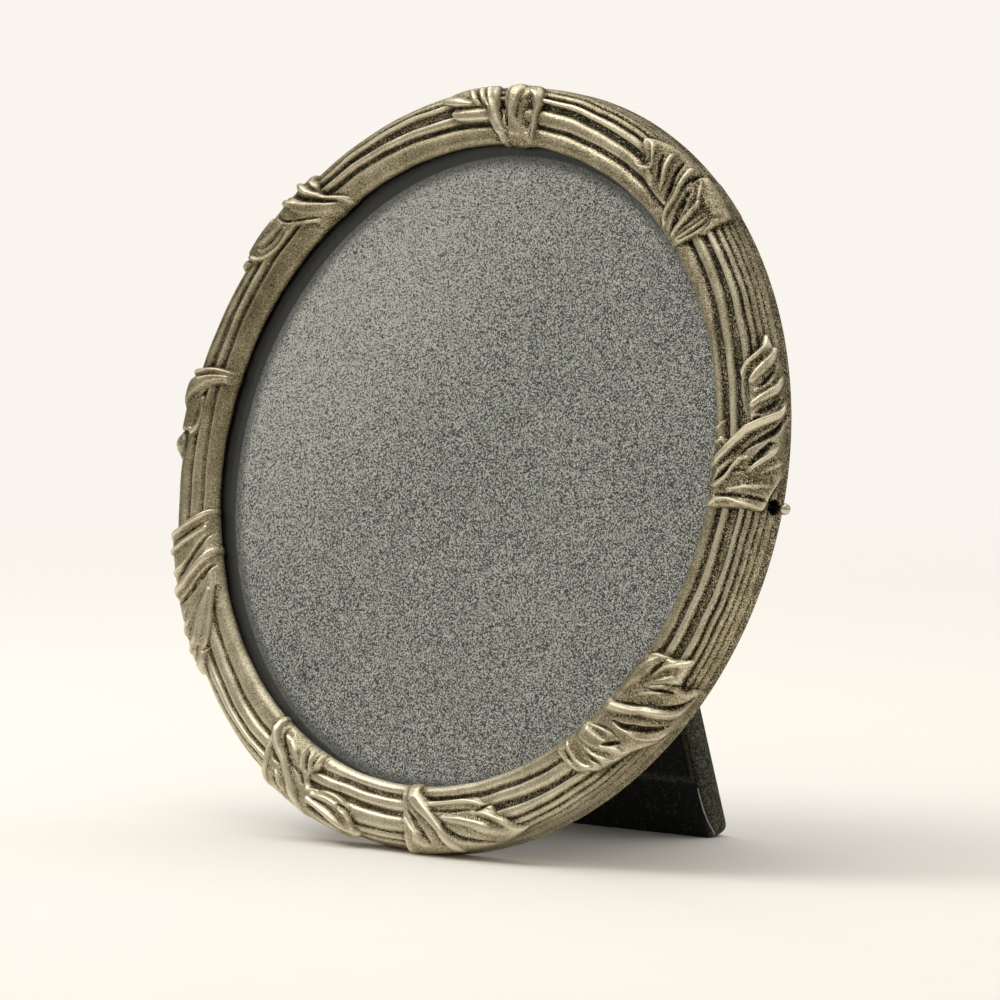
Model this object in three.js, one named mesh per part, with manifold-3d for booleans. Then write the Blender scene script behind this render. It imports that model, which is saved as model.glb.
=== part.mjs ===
// Round standing picture frame: a cast pewter ring of reeds and acanthus wraps, with glass, insert and a
// velvet back whose hinged leg props it up. Millimetres, +Z up, origin on the table under the ring's flat.
import * as THREE from "three";
import { mergeVertices } from "three/addons/utils/BufferGeometryUtils.js";
import Module from "manifold-3d";

const wasm = await Module();
wasm.setup();

// How it stands
const lean = THREE.MathUtils.degToRad(13); // the ring leans back from upright
const openAngle = THREE.MathUtils.degToRad(28); // leg away from the back, on its stop
const flatDepth = 0.35; // what the small flat under the ring takes off its rim

// Ring section: radius from the ring's axis, height in front of its back plane
const openingRadius = 60.4;
const faceWidth = 7.6; // from the opening's edge to where the shoulder starts
const faceHeight = 7.3; // bottom of the grooves between the reeds
const lipRound = 0.6;
const lipUnderside = 6.65;
const shoulderRound = 2.3;
const wallFlare = THREE.MathUtils.degToRad(10.5); // outer wall widens towards the back
const wallFootHeight = 0.9;
const backChamfer = 0.7;

// Reeds from the lip to the outer wall: width and height of each
const reeds = [
  [1.2, 0.45],
  [1.6, 0.65],
  [2.5, 1.25],
  [3.2, 1.35],
  [1.7, 0.85],
  [1.4, 0.4],
  [1.8, 0.45],
];
const plainWallShare = 0.14; // of the girth, left smooth next to the back

// Acanthus wraps: where each ribbon leaves the lip, in degrees anticlockwise from three o'clock
const wrapStarts = [88, 46, 2, -44, -90, -122, -166, 167, 130];
const ribbonSlant = 9; // degrees from the lip to the outer wall
const ribbonHalfWidth = 2.6; // degrees
const ribbonHeight = 2.4;
const leafReach = 14; // degrees from the ribbon's start to the leaf's middle
const leafHalfLength = 10; // degrees
const leafHalfWidth = 0.36; // of the girth
const leafMiddle = 0.56; // of the girth
const leafHeight = 2.1;
const leafTaper = 0.35; // how much narrower the leaf is at its tip
const wrapFade = 0.86; // of the girth, where the wraps have sunk into the wall
const wrapFadeWidth = 0.16; // of the girth, over which they sink
const lipHold = 0.5; // share of a wrap's height left at the lip's edge
const lipBlend = 0.12; // of the girth, over which it grows to the full height

// Rebate and what lies in it, back plane first
const looseGap = 0.2; // between pieces that lie on each other
const edgeGap = 0.3; // round the edge of each disc
const velvetThick = 0.65;
const boardThick = 2.7;
const fillerThick = 0.5;
const insertThick = 0.3;
const lipCover = 3.6; // how far the lip laps over the glass
const backLedge = 3.2; // ledge the back board seats on

// Pull pin and the fixed peg across from it
const pinAngle = THREE.MathUtils.degToRad(-3);
const pinHeight = 2.3; // in front of the back plane
const pinShaft = 0.5; // radii from here on
const pinPoint = 0.25;
const pinBall = 1.05;
const pinInBoard = 3.5; // how far the tip goes into the board
const pinStandOff = 0.75; // ball clear of the wall
const pinHole = 1.2;
const pinHoleRaise = 0.65; // the hole in the ring sits in front of the pin's axis
const pegRadius = 0.75;
const pegInBoard = 6;
const pegInRing = 1.7;
const pinClearance = 0.2;

// Stop hinge
const hingeHeight = 24; // above the ring's axis, along the back
const hingeWidth = 26;
const hingePlate = 0.7;
const knuckleRadius = 1.4;
const hingePinRadius = 0.7;
const hingeClearance = 0.12;
const middleKnuckle = 12; // length
const knuckleGap = 0.3;
const fixedLeafHeight = 13;
const fixedLeafCorner = 3;
const movingLeafWidth = 20;
const movingLeafDrop = 21;
const stopTongueWidth = 9;
const stopTongueHeight = 5.5;
const stopGap = 0.3;
const pinHeadThick = 0.6;
const pinHeadRadius = 1.15;

// Rivets
const rivetShank = 0.9;
const rivetHead = 1.9;
const rivetDome = 0.7;
const rivetClearance = 0.2;
const fixedRivetInset = 4.5; // from the leaf's side edge
const fixedRivetRise = 8.5; // above the hinge axis
const legRivetInset = 4; // from the leaf's side edge
const legRivetDrop = 13; // below the hinge axis

// Leg
const legTopWidth = 46;
const legFootWidth = 56;
const legTopCorner = 5;
const legFootCorner = 3;
const legTopDrop = 2.4; // below the hinge axis
const legBoardThick = 3.6;
const legVelvetThick = 0.7;
const legLiningThick = 0.6;
const legFootPad = 1.7; // velvet folded under the foot
const footTrim = 0.7; // taken off the square foot where it meets the table
const sideHem = 2.4;
const footHem = 12.6;

// How finely round things are cut
const ringSteps = 144;
const discSteps = 60;
const barSteps = 16;
const rivetSteps = 12;
const arcSteps = 4;
const ballSteps = 8;
const overshoot = 1; // a cutting tool reaches this far past what it cuts

const lookOf = {
  pewter: { color: 0x968b72, roughness: 0.42, metalness: 1 },
  glass: { color: 0xdfe7e4, roughness: 0.05, metalness: 0, transparent: true, opacity: 0.25 },
  insert: { color: 0x6d706e, roughness: 0.85, metalness: 0 },
  card: { color: 0x8c7a5e, roughness: 0.9, metalness: 0 },
  velvet: { color: 0x1a2421, roughness: 0.95, metalness: 0 },
  hingeSteel: { color: 0xa8905a, roughness: 0.35, metalness: 1 },
  pinMetal: { color: 0xb4ab95, roughness: 0.25, metalness: 1 },
};

// Turns a closed geometry into a solid, with shared corners merged and faces pointing out
function solidOf(geometry) {
  const plain = geometry.clone();
  plain.deleteAttribute("normal");
  plain.deleteAttribute("uv");
  const merged = mergeVertices(plain, 1e-5);
  const position = merged.attributes.position;
  const index = [];
  const a = new THREE.Vector3();
  const b = new THREE.Vector3();
  const c = new THREE.Vector3();
  let volume = 0;
  for (let i = 0; i < merged.index.count; i += 3) {
    const corner = [0, 1, 2].map((k) => merged.index.getX(i + k));
    if (new Set(corner).size < 3) continue;
    index.push(...corner);
    a.fromBufferAttribute(position, corner[0]);
    b.fromBufferAttribute(position, corner[1]);
    c.fromBufferAttribute(position, corner[2]);
    volume += a.dot(b.cross(c));
  }
  if (volume < 0) index.reverse();
  return new wasm.Manifold(
    new wasm.Mesh({
      numProp: 3,
      vertProperties: new Float32Array(position.array),
      triVerts: new Uint32Array(index),
    })
  );
}

// Gives a solid's surface back as a geometry
function geometryOf(solid) {
  const mesh = solid.getMesh();
  const geometry = new THREE.BufferGeometry();
  const points = new Float32Array(mesh.numVert * 3);
  for (let i = 0; i < mesh.numVert; i++) {
    for (let k = 0; k < 3; k++) points[3 * i + k] = mesh.vertProperties[i * mesh.numProp + k];
  }
  geometry.setAttribute("position", new THREE.BufferAttribute(points, 3));
  geometry.setIndex(new THREE.BufferAttribute(new Uint32Array(mesh.triVerts), 1));
  geometry.computeVertexNormals();
  return geometry;
}

const joined = (...parts) => geometryOf(parts.map(solidOf).reduce((sum, part) => sum.add(part)));
const cut = (body, ...tools) =>
  geometryOf(tools.map(solidOf).reduce((rest, tool) => rest.subtract(tool), solidOf(body)));

function meshOf(name, geometry, look) {
  const mesh = new THREE.Mesh(geometry, new THREE.MeshStandardMaterial(lookOf[look]));
  mesh.name = name;
  return mesh;
}

function boxBetween(low, high) {
  const size = high.map((value, k) => value - low[k]);
  const middle = high.map((value, k) => (value + low[k]) / 2);
  return new THREE.BoxGeometry(...size).translate(...middle);
}

// Round bar along X or Y, from one end to the other
function barAlongX(radius, from, to, y, z, steps) {
  const bar = new THREE.CylinderGeometry(radius, radius, to - from, steps);
  return bar.rotateZ(Math.PI / 2).translate((from + to) / 2, y, z);
}

function barAlongY(radius, from, to, x, z, steps) {
  const bar = new THREE.CylinderGeometry(radius, radius, to - from, steps);
  return bar.translate(x, (from + to) / 2, z);
}

// Disc or cup turned about the ring's axis; rows are [radius, height in front of the back plane]
function turned(rows, steps = discSteps) {
  const profile = rows.map(([radius, height]) => new THREE.Vector2(radius, -height));
  return new THREE.LatheGeometry(profile.reverse(), steps);
}

function discBetween(radius, low, high) {
  return turned([
    [0, low],
    [radius, low],
    [radius, high],
    [0, high],
  ]);
}

// Outline in the X-Z plane pushed from one depth in Y to another
function plateOf(shape, from, to) {
  const plate = new THREE.ExtrudeGeometry(shape, {
    depth: to - from,
    bevelEnabled: false,
    curveSegments: arcSteps,
  });
  return plate.rotateX(Math.PI / 2).translate(0, to, 0);
}

// Ring section
const glassRebateRadius = openingRadius + lipCover;
const backRebateRadius = glassRebateRadius + backLedge;
const lipMiddle = openingRadius + lipRound;
const faceEnd = openingRadius + faceWidth;
const shoulderHeight = faceHeight - shoulderRound;
const wallTop = {
  radius: faceEnd + shoulderRound * Math.cos(wallFlare),
  height: shoulderHeight + shoulderRound * Math.sin(wallFlare),
};
const wallFootRadius = wallTop.radius + (wallTop.height - wallFootHeight) * Math.tan(wallFlare);

// The line under the reeds: round the lip, across the face, over the shoulder and down the wall
const girth = new THREE.Path();
girth.moveTo(openingRadius, faceHeight - lipRound);
girth.absarc(lipMiddle, faceHeight - lipRound, lipRound, Math.PI, Math.PI / 2, true);
girth.lineTo(faceEnd, faceHeight);
girth.absarc(faceEnd, shoulderHeight, shoulderRound, Math.PI / 2, wallFlare, true);
girth.lineTo(wallFootRadius, wallFootHeight);

const reedsWidth = reeds.reduce((sum, [width]) => sum + width, 0);
const reedSpots = [];
let reedStart = 0;
for (const [width, height] of reeds) {
  const span = (width / reedsWidth) * (1 - plainWallShare);
  reedSpots.push({ middle: reedStart + span / 2, half: span / 2, height });
  reedStart += span;
}

// A reed is half an ellipse standing on the line under the reeds
function reedRelief(share) {
  const reed = reedSpots.find(({ middle, half }) => Math.abs(share - middle) < half);
  return reed ? reed.height * Math.sqrt(1 - ((share - reed.middle) / reed.half) ** 2) : 0;
}

const turnBetween = (angle, from) => THREE.MathUtils.euclideanModulo(angle - from + 180, 360) - 180;
const hump = (distance) => Math.sqrt(Math.max(0, 1 - distance * distance));

// A wrap is a ribbon slanting over the reeds and a pointed leaf trailing from it
function wrapRelief(angle, share) {
  const sink = THREE.MathUtils.smoothstep(wrapFade - share, 0, wrapFadeWidth);
  const grow = THREE.MathUtils.lerp(lipHold, 1, THREE.MathUtils.smoothstep(share, 0, lipBlend));
  const heights = wrapStarts.map((start) => {
    const along = turnBetween(angle, start) - ribbonSlant * share;
    const ribbon = ribbonHeight * hump(along / ribbonHalfWidth);
    const onLeaf = turnBetween(angle, start) - leafReach;
    const leafWide = leafHalfWidth * (1 - leafTaper * (onLeaf / leafHalfLength));
    const leaf = leafHeight * hump(Math.hypot(onLeaf / leafHalfLength, (share - leafMiddle) / leafWide));
    return Math.max(ribbon, leaf);
  });
  return sink * grow * Math.max(...heights);
}

// Where the section is sampled: both edges, both sides and the crest of each reed
const sectionShares = reedSpots.flatMap(({ middle, half }) => [
  middle - half,
  middle - half / 2,
  middle + half / 2,
]);
sectionShares.push(1 - plainWallShare, 1);

function ringGeometry() {
  const boardFront = velvetThick + looseGap + boardThick;
  const inside = [
    [wallFootRadius - backChamfer, 0],
    [backRebateRadius, 0],
    [backRebateRadius, boardFront + looseGap],
    [glassRebateRadius, boardFront + looseGap],
    [glassRebateRadius, lipUnderside],
    [openingRadius + lipRound / 2, lipUnderside],
  ];
  const points = [];
  for (let step = 0; step < ringSteps; step++) {
    const degrees = (step * 360) / ringSteps;
    const angle = THREE.MathUtils.degToRad(degrees);
    const front = sectionShares.map((share) => {
      const spot = girth.getPointAt(share);
      const along = girth.getTangentAt(share);
      const rise = Math.max(reedRelief(share), wrapRelief(degrees, share));
      return [spot.x - along.y * rise, spot.y + along.x * rise];
    });
    for (const [radius, height] of [...front, ...inside]) {
      points.push(radius * Math.cos(angle), -height, radius * Math.sin(angle));
    }
  }
  const rows = sectionShares.length + inside.length;
  const index = [];
  for (let step = 0; step < ringSteps; step++) {
    for (let row = 0; row < rows; row++) {
      const here = step * rows;
      const next = ((step + 1) % ringSteps) * rows;
      const up = (row + 1) % rows;
      index.push(here + row, next + row, next + up, here + row, next + up, here + up);
    }
  }
  const geometry = new THREE.BufferGeometry();
  geometry.setAttribute("position", new THREE.BufferAttribute(new Float32Array(points), 3));
  geometry.setIndex(index);
  return geometry;
}

// Standing: the ring's frame has X right, Y out of the back and Z up the back
const floorDrop = wallFootRadius * Math.cos(lean) - wallFootHeight * Math.sin(lean) - flatDepth;
const flatBack = wallFootRadius * Math.sin(lean) + wallFootHeight * Math.cos(lean);
const frame = new THREE.Group();
frame.position.set(0, flatBack, floorDrop);
frame.rotation.x = -lean;

const hingeDepth = looseGap + knuckleRadius;
const leg = new THREE.Group();
leg.position.set(0, hingeDepth, hingeHeight);
leg.rotation.x = openAngle;
frame.add(leg);

const root = new THREE.Group();
root.add(frame);
root.updateMatrixWorld(true);

// Everything under the table's plane, in a group's own frame
function belowTable(group) {
  const reach = 2 * (wallFootRadius + hingeHeight);
  const table = boxBetween([-reach, -reach, -reach], [reach, reach, 0]);
  return table.applyMatrix4(group.matrixWorld.clone().invert());
}

// Ring
const ringPinHole = barAlongX(
  pinHole,
  backRebateRadius - overshoot,
  wallFootRadius + ribbonHeight,
  -(pinHeight + pinHoleRaise),
  0,
  barSteps
).rotateY(-pinAngle);
const ringPegHole = barAlongX(
  pegRadius + pinClearance,
  -(backRebateRadius + pegInRing + pinClearance),
  -(backRebateRadius - overshoot),
  -pinHeight,
  0,
  rivetSteps
);
frame.add(meshOf("frame_ring", cut(ringGeometry(), ringPinHole, ringPegHole, belowTable(frame)), "pewter"));

// Glass, insert and filler in the front rebate
const discRadius = glassRebateRadius - edgeGap;
const fillerLow = velvetThick + boardThick + 2 * looseGap;
const insertLow = fillerLow + fillerThick + looseGap;
const glassLow = insertLow + insertThick + looseGap;
frame.add(meshOf("glass_pane", discBetween(discRadius, glassLow, lipUnderside - looseGap), "glass"));
frame.add(meshOf("insert_card", discBetween(discRadius, insertLow, insertLow + insertThick), "insert"));
frame.add(meshOf("filler_card", discBetween(discRadius, fillerLow, fillerLow + fillerThick), "card"));

// Back: a board in a velvet cup, drilled for the pin, the peg and the hinge's rivets
const velvetRadius = backRebateRadius - edgeGap;
const boardRadius = velvetRadius - velvetThick - looseGap;
const boardLow = velvetThick + looseGap;
const ballRadiusAt = wallFootRadius + pinStandOff + pinBall; // where the ball's middle sits
const pinTip = boardRadius - pinInBoard;
const pinReach = ballRadiusAt - pinTip;
const fixedRivets = [-1, 1].map((side) => ({
  x: side * (hingeWidth / 2 - fixedRivetInset),
  z: hingeHeight + fixedRivetRise,
}));
const pinDrill = barAlongX(
  pinShaft + pinClearance,
  pinTip - pinClearance,
  backRebateRadius,
  -pinHeight,
  0,
  rivetSteps
);
const pegDrill = barAlongX(
  pegRadius + pinClearance,
  -backRebateRadius,
  -(boardRadius - pegInBoard - pinClearance),
  -pinHeight,
  0,
  rivetSteps
);
const backDrills = fixedRivets.map(({ x, z }) =>
  barAlongY(rivetShank + rivetClearance, -(boardLow + boardThick + looseGap), looseGap, x, z, rivetSteps)
);
const backTools = [pinDrill.rotateY(-pinAngle), pegDrill, ...backDrills];
const velvetCup = turned([
  [0, 0],
  [velvetRadius, 0],
  [velvetRadius, boardLow + boardThick],
  [velvetRadius - velvetThick, boardLow + boardThick],
  [velvetRadius - velvetThick, velvetThick],
  [0, velvetThick],
]);
frame.add(meshOf("back_velvet", cut(velvetCup, ...backTools), "velvet"));
const backDisc = discBetween(boardRadius, boardLow, boardLow + boardThick);
frame.add(meshOf("back_board", cut(backDisc, ...backTools), "card"));

// Peg across from the pin, driven into the board's edge
const peg = barAlongX(
  pegRadius,
  -(backRebateRadius + pegInRing),
  -(boardRadius - pegInBoard),
  -pinHeight,
  0,
  rivetSteps
);
frame.add(meshOf("retaining_peg", peg, "pinMetal"));

// Pull pin: tip, shaft and ball in one turned piece, laid along its angle
const ballEnd = Math.asin(pinShaft / pinBall);
const pinProfile = new THREE.Path();
pinProfile.moveTo(0, -pinReach);
pinProfile.lineTo(pinPoint, -pinReach);
pinProfile.lineTo(pinShaft, pinShaft - pinReach);
pinProfile.absarc(0, 0, pinBall, ballEnd - Math.PI / 2, Math.PI / 2, false);
const pullPin = new THREE.LatheGeometry(pinProfile.getPoints(ballSteps), rivetSteps);
pullPin.rotateZ(-Math.PI / 2).translate(ballRadiusAt, -pinHeight, 0).rotateY(-pinAngle);
frame.add(meshOf("locking_pin", pullPin, "pinMetal"));

// Fixed leaf: a round-cornered plate on the back, its two knuckles curled at the lower edge
function roundedShape(corners) {
  const shape = new THREE.Shape();
  corners.forEach(([x, z, radius], k) => {
    const here = new THREE.Vector2(x, z);
    const before = new THREE.Vector2(...corners.at(k - 1).slice(0, 2));
    const after = new THREE.Vector2(...corners[(k + 1) % corners.length].slice(0, 2));
    const enter = here.clone().addScaledVector(before.sub(here).normalize(), radius);
    const leave = here.clone().addScaledVector(after.sub(here).normalize(), radius);
    if (k === 0) shape.moveTo(enter.x, enter.y);
    else shape.lineTo(enter.x, enter.y);
    if (radius > 0) shape.quadraticCurveTo(here.x, here.y, leave.x, leave.y);
  });
  shape.closePath();
  return shape;
}

const hingeHalf = hingeWidth / 2;
const knuckleEnd = middleKnuckle / 2 + knuckleGap;
const leafLow = hingeHeight + knuckleRadius + looseGap;
const leafShape = roundedShape([
  [-hingeHalf, leafLow, 0],
  [hingeHalf, leafLow, 0],
  [hingeHalf, hingeHeight + fixedLeafHeight, fixedLeafCorner],
  [-hingeHalf, hingeHeight + fixedLeafHeight, fixedLeafCorner],
]);
const leafRear = looseGap + hingePlate;
const fixedParts = [plateOf(leafShape, looseGap, leafRear)];
for (const [from, to] of [
  [-hingeHalf, -knuckleEnd],
  [knuckleEnd, hingeHalf],
]) {
  fixedParts.push(barAlongX(knuckleRadius, from, to, hingeDepth, hingeHeight, barSteps));
  fixedParts.push(boxBetween([from, looseGap, hingeHeight], [to, leafRear, leafLow + looseGap]));
}
const knuckleBore = hingePinRadius + hingeClearance;
const fixedHoles = fixedRivets.map(({ x, z }) =>
  barAlongY(rivetShank + rivetClearance, 0, hingeDepth, x, z, rivetSteps)
);
const fixedBore = barAlongX(knuckleBore, -hingeWidth, hingeWidth, hingeDepth, hingeHeight, barSteps);
frame.add(meshOf("hinge_fixed_leaf", cut(joined(...fixedParts), fixedBore, ...fixedHoles), "hingeSteel"));

// Hinge pin with a peened head past each end knuckle
const pinHeadAt = hingeHalf + looseGap;
const pinEnd = pinHeadAt + pinHeadThick;
const hingePin = joined(
  barAlongX(hingePinRadius, -pinEnd, pinEnd, hingeDepth, hingeHeight, barSteps),
  barAlongX(pinHeadRadius, pinHeadAt, pinEnd, hingeDepth, hingeHeight, barSteps),
  barAlongX(pinHeadRadius, -pinEnd, -pinHeadAt, hingeDepth, hingeHeight, barSteps)
);
frame.add(meshOf("hinge_pin", hingePin, "hingeSteel"));

// Rivet standing along +Y: a shank and a domed head, with the head's underside at y
function rivetAt(x, z, y, shankLength) {
  const profile = new THREE.Path();
  profile.moveTo(0, -shankLength);
  profile.lineTo(rivetShank, -shankLength);
  profile.lineTo(rivetShank, 0);
  profile.lineTo(rivetHead, 0);
  profile.quadraticCurveTo(rivetHead, rivetDome, 0, rivetDome);
  return new THREE.LatheGeometry(profile.getPoints(arcSteps), rivetSteps).translate(x, y, z);
}

const sides = ["left", "right"];
fixedRivets.forEach(({ x, z }, k) => {
  const headAt = leafRear + looseGap;
  const rivet = rivetAt(x, z, headAt, headAt + boardLow + boardThick - looseGap);
  frame.add(meshOf(`back_rivet_${sides[k]}`, rivet, "hingeSteel"));
});

// Leg, drawn hanging along the back with the hinge axis at its origin
const plateFront = -knuckleRadius;
const plateRear = plateFront + hingePlate;
const liningFront = plateRear + looseGap;
const boardFrontLeg = liningFront + legLiningThick + looseGap;
const velvetBack = boardFrontLeg + legBoardThick + looseGap;
const legRear = velvetBack + legVelvetThick;
const hingeAbove = floorDrop + hingeHeight * Math.cos(lean) - hingeDepth * Math.sin(lean);
const stride = openAngle - lean;
const legLength = (hingeAbove + liningFront * Math.sin(stride)) / Math.cos(stride) + footTrim;

// Leg outline, drawn in by a margin at the sides and top and by another at the foot
function legShape(margin, footMargin) {
  const top = legTopDrop + margin;
  const foot = legLength - footMargin;
  const slope = (legFootWidth - legTopWidth) / 2 / (legLength - legTopDrop);
  const halfAt = (drop) => legTopWidth / 2 + slope * (drop - legTopDrop) - margin;
  const topCorner = Math.max(legTopCorner - margin, margin / 2);
  const footCorner = Math.max(legFootCorner - margin, margin / 2);
  return roundedShape([
    [-halfAt(foot), -foot, footCorner],
    [halfAt(foot), -foot, footCorner],
    [halfAt(top), -top, topCorner],
    [-halfAt(top), -top, topCorner],
  ]);
}

const legRivets = [-1, 1].map((side) => ({
  x: side * (movingLeafWidth / 2 - legRivetInset),
  z: -legRivetDrop,
}));
const legDrills = () =>
  legRivets.map(({ x, z }) =>
    barAlongY(rivetShank + rivetClearance, plateFront - overshoot, legRear + overshoot, x, z, rivetSteps)
  );
const pocketMargin = legVelvetThick;
const boardMargin = pocketMargin + looseGap;
const legCover = cut(
  plateOf(legShape(0, 0), liningFront, legRear),
  plateOf(legShape(pocketMargin, legFootPad), boardFrontLeg - looseGap, velvetBack),
  plateOf(legShape(sideHem, footHem), liningFront - overshoot, boardFrontLeg),
  belowTable(leg),
  ...legDrills()
);
leg.add(meshOf("leg_velvet", legCover, "velvet"));
const legBoard = plateOf(
  legShape(boardMargin, legFootPad + looseGap),
  boardFrontLeg,
  boardFrontLeg + legBoardThick
);
leg.add(meshOf("leg_board", cut(legBoard, ...legDrills()), "card"));
const lining = plateOf(
  legShape(sideHem + edgeGap, footHem + edgeGap),
  liningFront,
  liningFront + legLiningThick
);
leg.add(meshOf("leg_lining", cut(lining, ...legDrills()), "velvet"));

// Moving leaf: plate on the leg's front, middle knuckle, and a tongue that stops on the fixed leaf
const plateTop = -(knuckleRadius + looseGap);
const tongueFront = leafRear + stopGap - hingeDepth;
const tongue = boxBetween(
  [-stopTongueWidth / 2, tongueFront, 0],
  [stopTongueWidth / 2, tongueFront + hingePlate, knuckleRadius + stopTongueHeight]
).rotateX(-openAngle);
const leafHalf = movingLeafWidth / 2;
const knuckleHalf = middleKnuckle / 2;
const movingParts = joined(
  boxBetween([-leafHalf, plateFront, -movingLeafDrop], [leafHalf, plateRear, plateTop]),
  boxBetween([-knuckleHalf, plateFront, plateTop - looseGap], [knuckleHalf, plateRear, 0]),
  barAlongX(knuckleRadius, -knuckleHalf, knuckleHalf, 0, 0, barSteps),
  tongue
);
const movingBore = barAlongX(knuckleBore, -hingeWidth, hingeWidth, 0, 0, barSteps);
leg.add(meshOf("hinge_moving_leaf", cut(movingParts, movingBore, ...legDrills()), "hingeSteel"));

legRivets.forEach(({ x, z }, k) => {
  const headAt = legRear + looseGap;
  leg.add(meshOf(`leg_rivet_${sides[k]}`, rivetAt(x, z, headAt, headAt - plateFront), "hingeSteel"));
});

export default root;
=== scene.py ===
import math

import bpy
import numpy as np
from mathutils import Matrix


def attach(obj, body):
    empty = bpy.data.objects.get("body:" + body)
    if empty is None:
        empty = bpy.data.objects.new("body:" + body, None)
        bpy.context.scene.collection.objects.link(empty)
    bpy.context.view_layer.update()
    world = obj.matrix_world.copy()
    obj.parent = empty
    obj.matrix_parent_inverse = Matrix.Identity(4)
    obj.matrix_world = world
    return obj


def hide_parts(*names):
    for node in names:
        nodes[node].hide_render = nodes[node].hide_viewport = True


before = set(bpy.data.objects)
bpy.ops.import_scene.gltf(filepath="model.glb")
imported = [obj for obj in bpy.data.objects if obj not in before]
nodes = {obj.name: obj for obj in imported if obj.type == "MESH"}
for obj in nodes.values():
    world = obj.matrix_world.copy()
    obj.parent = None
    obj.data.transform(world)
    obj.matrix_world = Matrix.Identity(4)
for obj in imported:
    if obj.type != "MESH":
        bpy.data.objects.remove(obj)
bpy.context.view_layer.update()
mm = 0.001
print("frame loaded with", len(nodes), "nodes")

# Ring section, in millimetres from the ring's axis and in front of its back plane; angles in degrees
ring = {
    "lean": 13.0,  # back from upright
    "flatDepth": 0.35,  # rim taken off where it stands
    "openingRadius": 60.4,
    "faceWidth": 7.6,
    "faceHeight": 7.3,
    "lipRound": 0.6,
    "lipUnderside": 6.65,
    "shoulderRound": 2.3,
    "wallFlare": 10.5,
    "wallFootHeight": 0.9,
    "backChamfer": 0.7,
    "chamferMiddle": (0.21, 0.25),  # in from the wall's foot, and up
    "lipCover": 3.6,
    "backLedge": 3.2,
    "ledgeHeight": 3.75,
    "ledgeRound": 0.2,
    "lipInset": (0.45, 0.15),  # last two points under the lip
    "aroundSteps": 660,
    "girthStep": 0.15,
    "measureOut": 2.0,  # a degree of carving is measured this far outside the face's middle
    "tableGap": 0.02,  # the flat keeps this much above the table
}

lean = math.radians(ring["lean"])
flare = math.radians(ring["wallFlare"])
faceEnd = ring["openingRadius"] + ring["faceWidth"]
shoulderHeight = ring["faceHeight"] - ring["shoulderRound"]
lipMiddle = ring["openingRadius"] + ring["lipRound"]
lipHeight = ring["faceHeight"] - ring["lipRound"]
wallTopRadius = faceEnd + ring["shoulderRound"] * math.cos(flare)
wallTopHeight = shoulderHeight + ring["shoulderRound"] * math.sin(flare)
wallFootRadius = wallTopRadius + (wallTopHeight - ring["wallFootHeight"]) * math.tan(flare)
glassRadius = ring["openingRadius"] + ring["lipCover"]
backRadius = glassRadius + ring["backLedge"]
lipArc = ring["lipRound"] * math.pi / 2
faceRun = faceEnd - lipMiddle
shoulderArc = ring["shoulderRound"] * (math.pi / 2 - flare)
wallRun = (wallTopHeight - ring["wallFootHeight"]) / math.cos(flare)
girthEnd = lipArc + faceRun + shoulderArc + wallRun
rimDrop = wallFootRadius * math.cos(lean) - ring["wallFootHeight"] * math.sin(lean) - ring["flatDepth"]
rimBack = wallFootRadius * math.sin(lean) + ring["wallFootHeight"] * math.cos(lean)
degreeMm = math.radians(1) * (ring["openingRadius"] + ring["faceWidth"] / 2 + ring["measureOut"])


# Line under the reeds and its outward normal: quarter circle at the lip, flat face, shoulder arc, flared wall
def girth(across):
    s = np.asarray(across, float)
    lipTurn = math.pi - s / ring["lipRound"]
    shoulderTurn = math.pi / 2 - (s - lipArc - faceRun) / ring["shoulderRound"]
    down = s - lipArc - faceRun - shoulderArc
    where = [s < lipArc, s < lipArc + faceRun, s < lipArc + faceRun + shoulderArc]
    flat = np.zeros_like(s)

    def pick(lip, face, shoulder, wall):  # by the stretch of the line that a spot is on
        return np.select(where, [lip, face, shoulder], wall)

    out = pick(np.cos(lipTurn), flat, np.cos(shoulderTurn), math.cos(flare))
    front = pick(np.sin(lipTurn), flat + 1, np.sin(shoulderTurn), math.sin(flare))
    bend = pick(ring["lipRound"], flat, ring["shoulderRound"], flat)
    radius = pick(lipMiddle, lipMiddle + s - lipArc, faceEnd, wallTopRadius + down * math.sin(flare))
    height = pick(lipHeight, ring["faceHeight"], shoulderHeight, wallTopHeight - down * math.cos(flare))
    return radius + bend * out, height + bend * front, out, front


# Points turned about X and moved back and up
def tilt(local, angle, back, up):
    x, y, z = np.moveaxis(np.asarray(local, float), -1, 0)
    cos, sin = math.cos(angle), math.sin(angle)
    return np.stack([x, back + y * cos + z * sin, up - y * sin + z * cos], -1)


# Ring axes (X right, Y out of the back, Z up the back) leaned back and set on the table, in metres
def stand(local):
    placed = tilt(local, lean, rimBack, rimDrop)
    placed[..., 2] = np.maximum(placed[..., 2], ring["tableGap"])
    return placed * mm


# Radius and height swept to an angle round the ring's axis
def roundRing(turn, radius, height):
    angle = np.radians(turn)
    return stand(np.stack([radius * np.cos(angle), -height, radius * np.sin(angle)], -1))


# Point of the carved surface: the line under the reeds, lifted along its normal
def onGirth(turn, across, rise):
    radius, height, out, front = girth(across)
    return roundRing(turn, radius + rise * out, height + rise * front)


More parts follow.
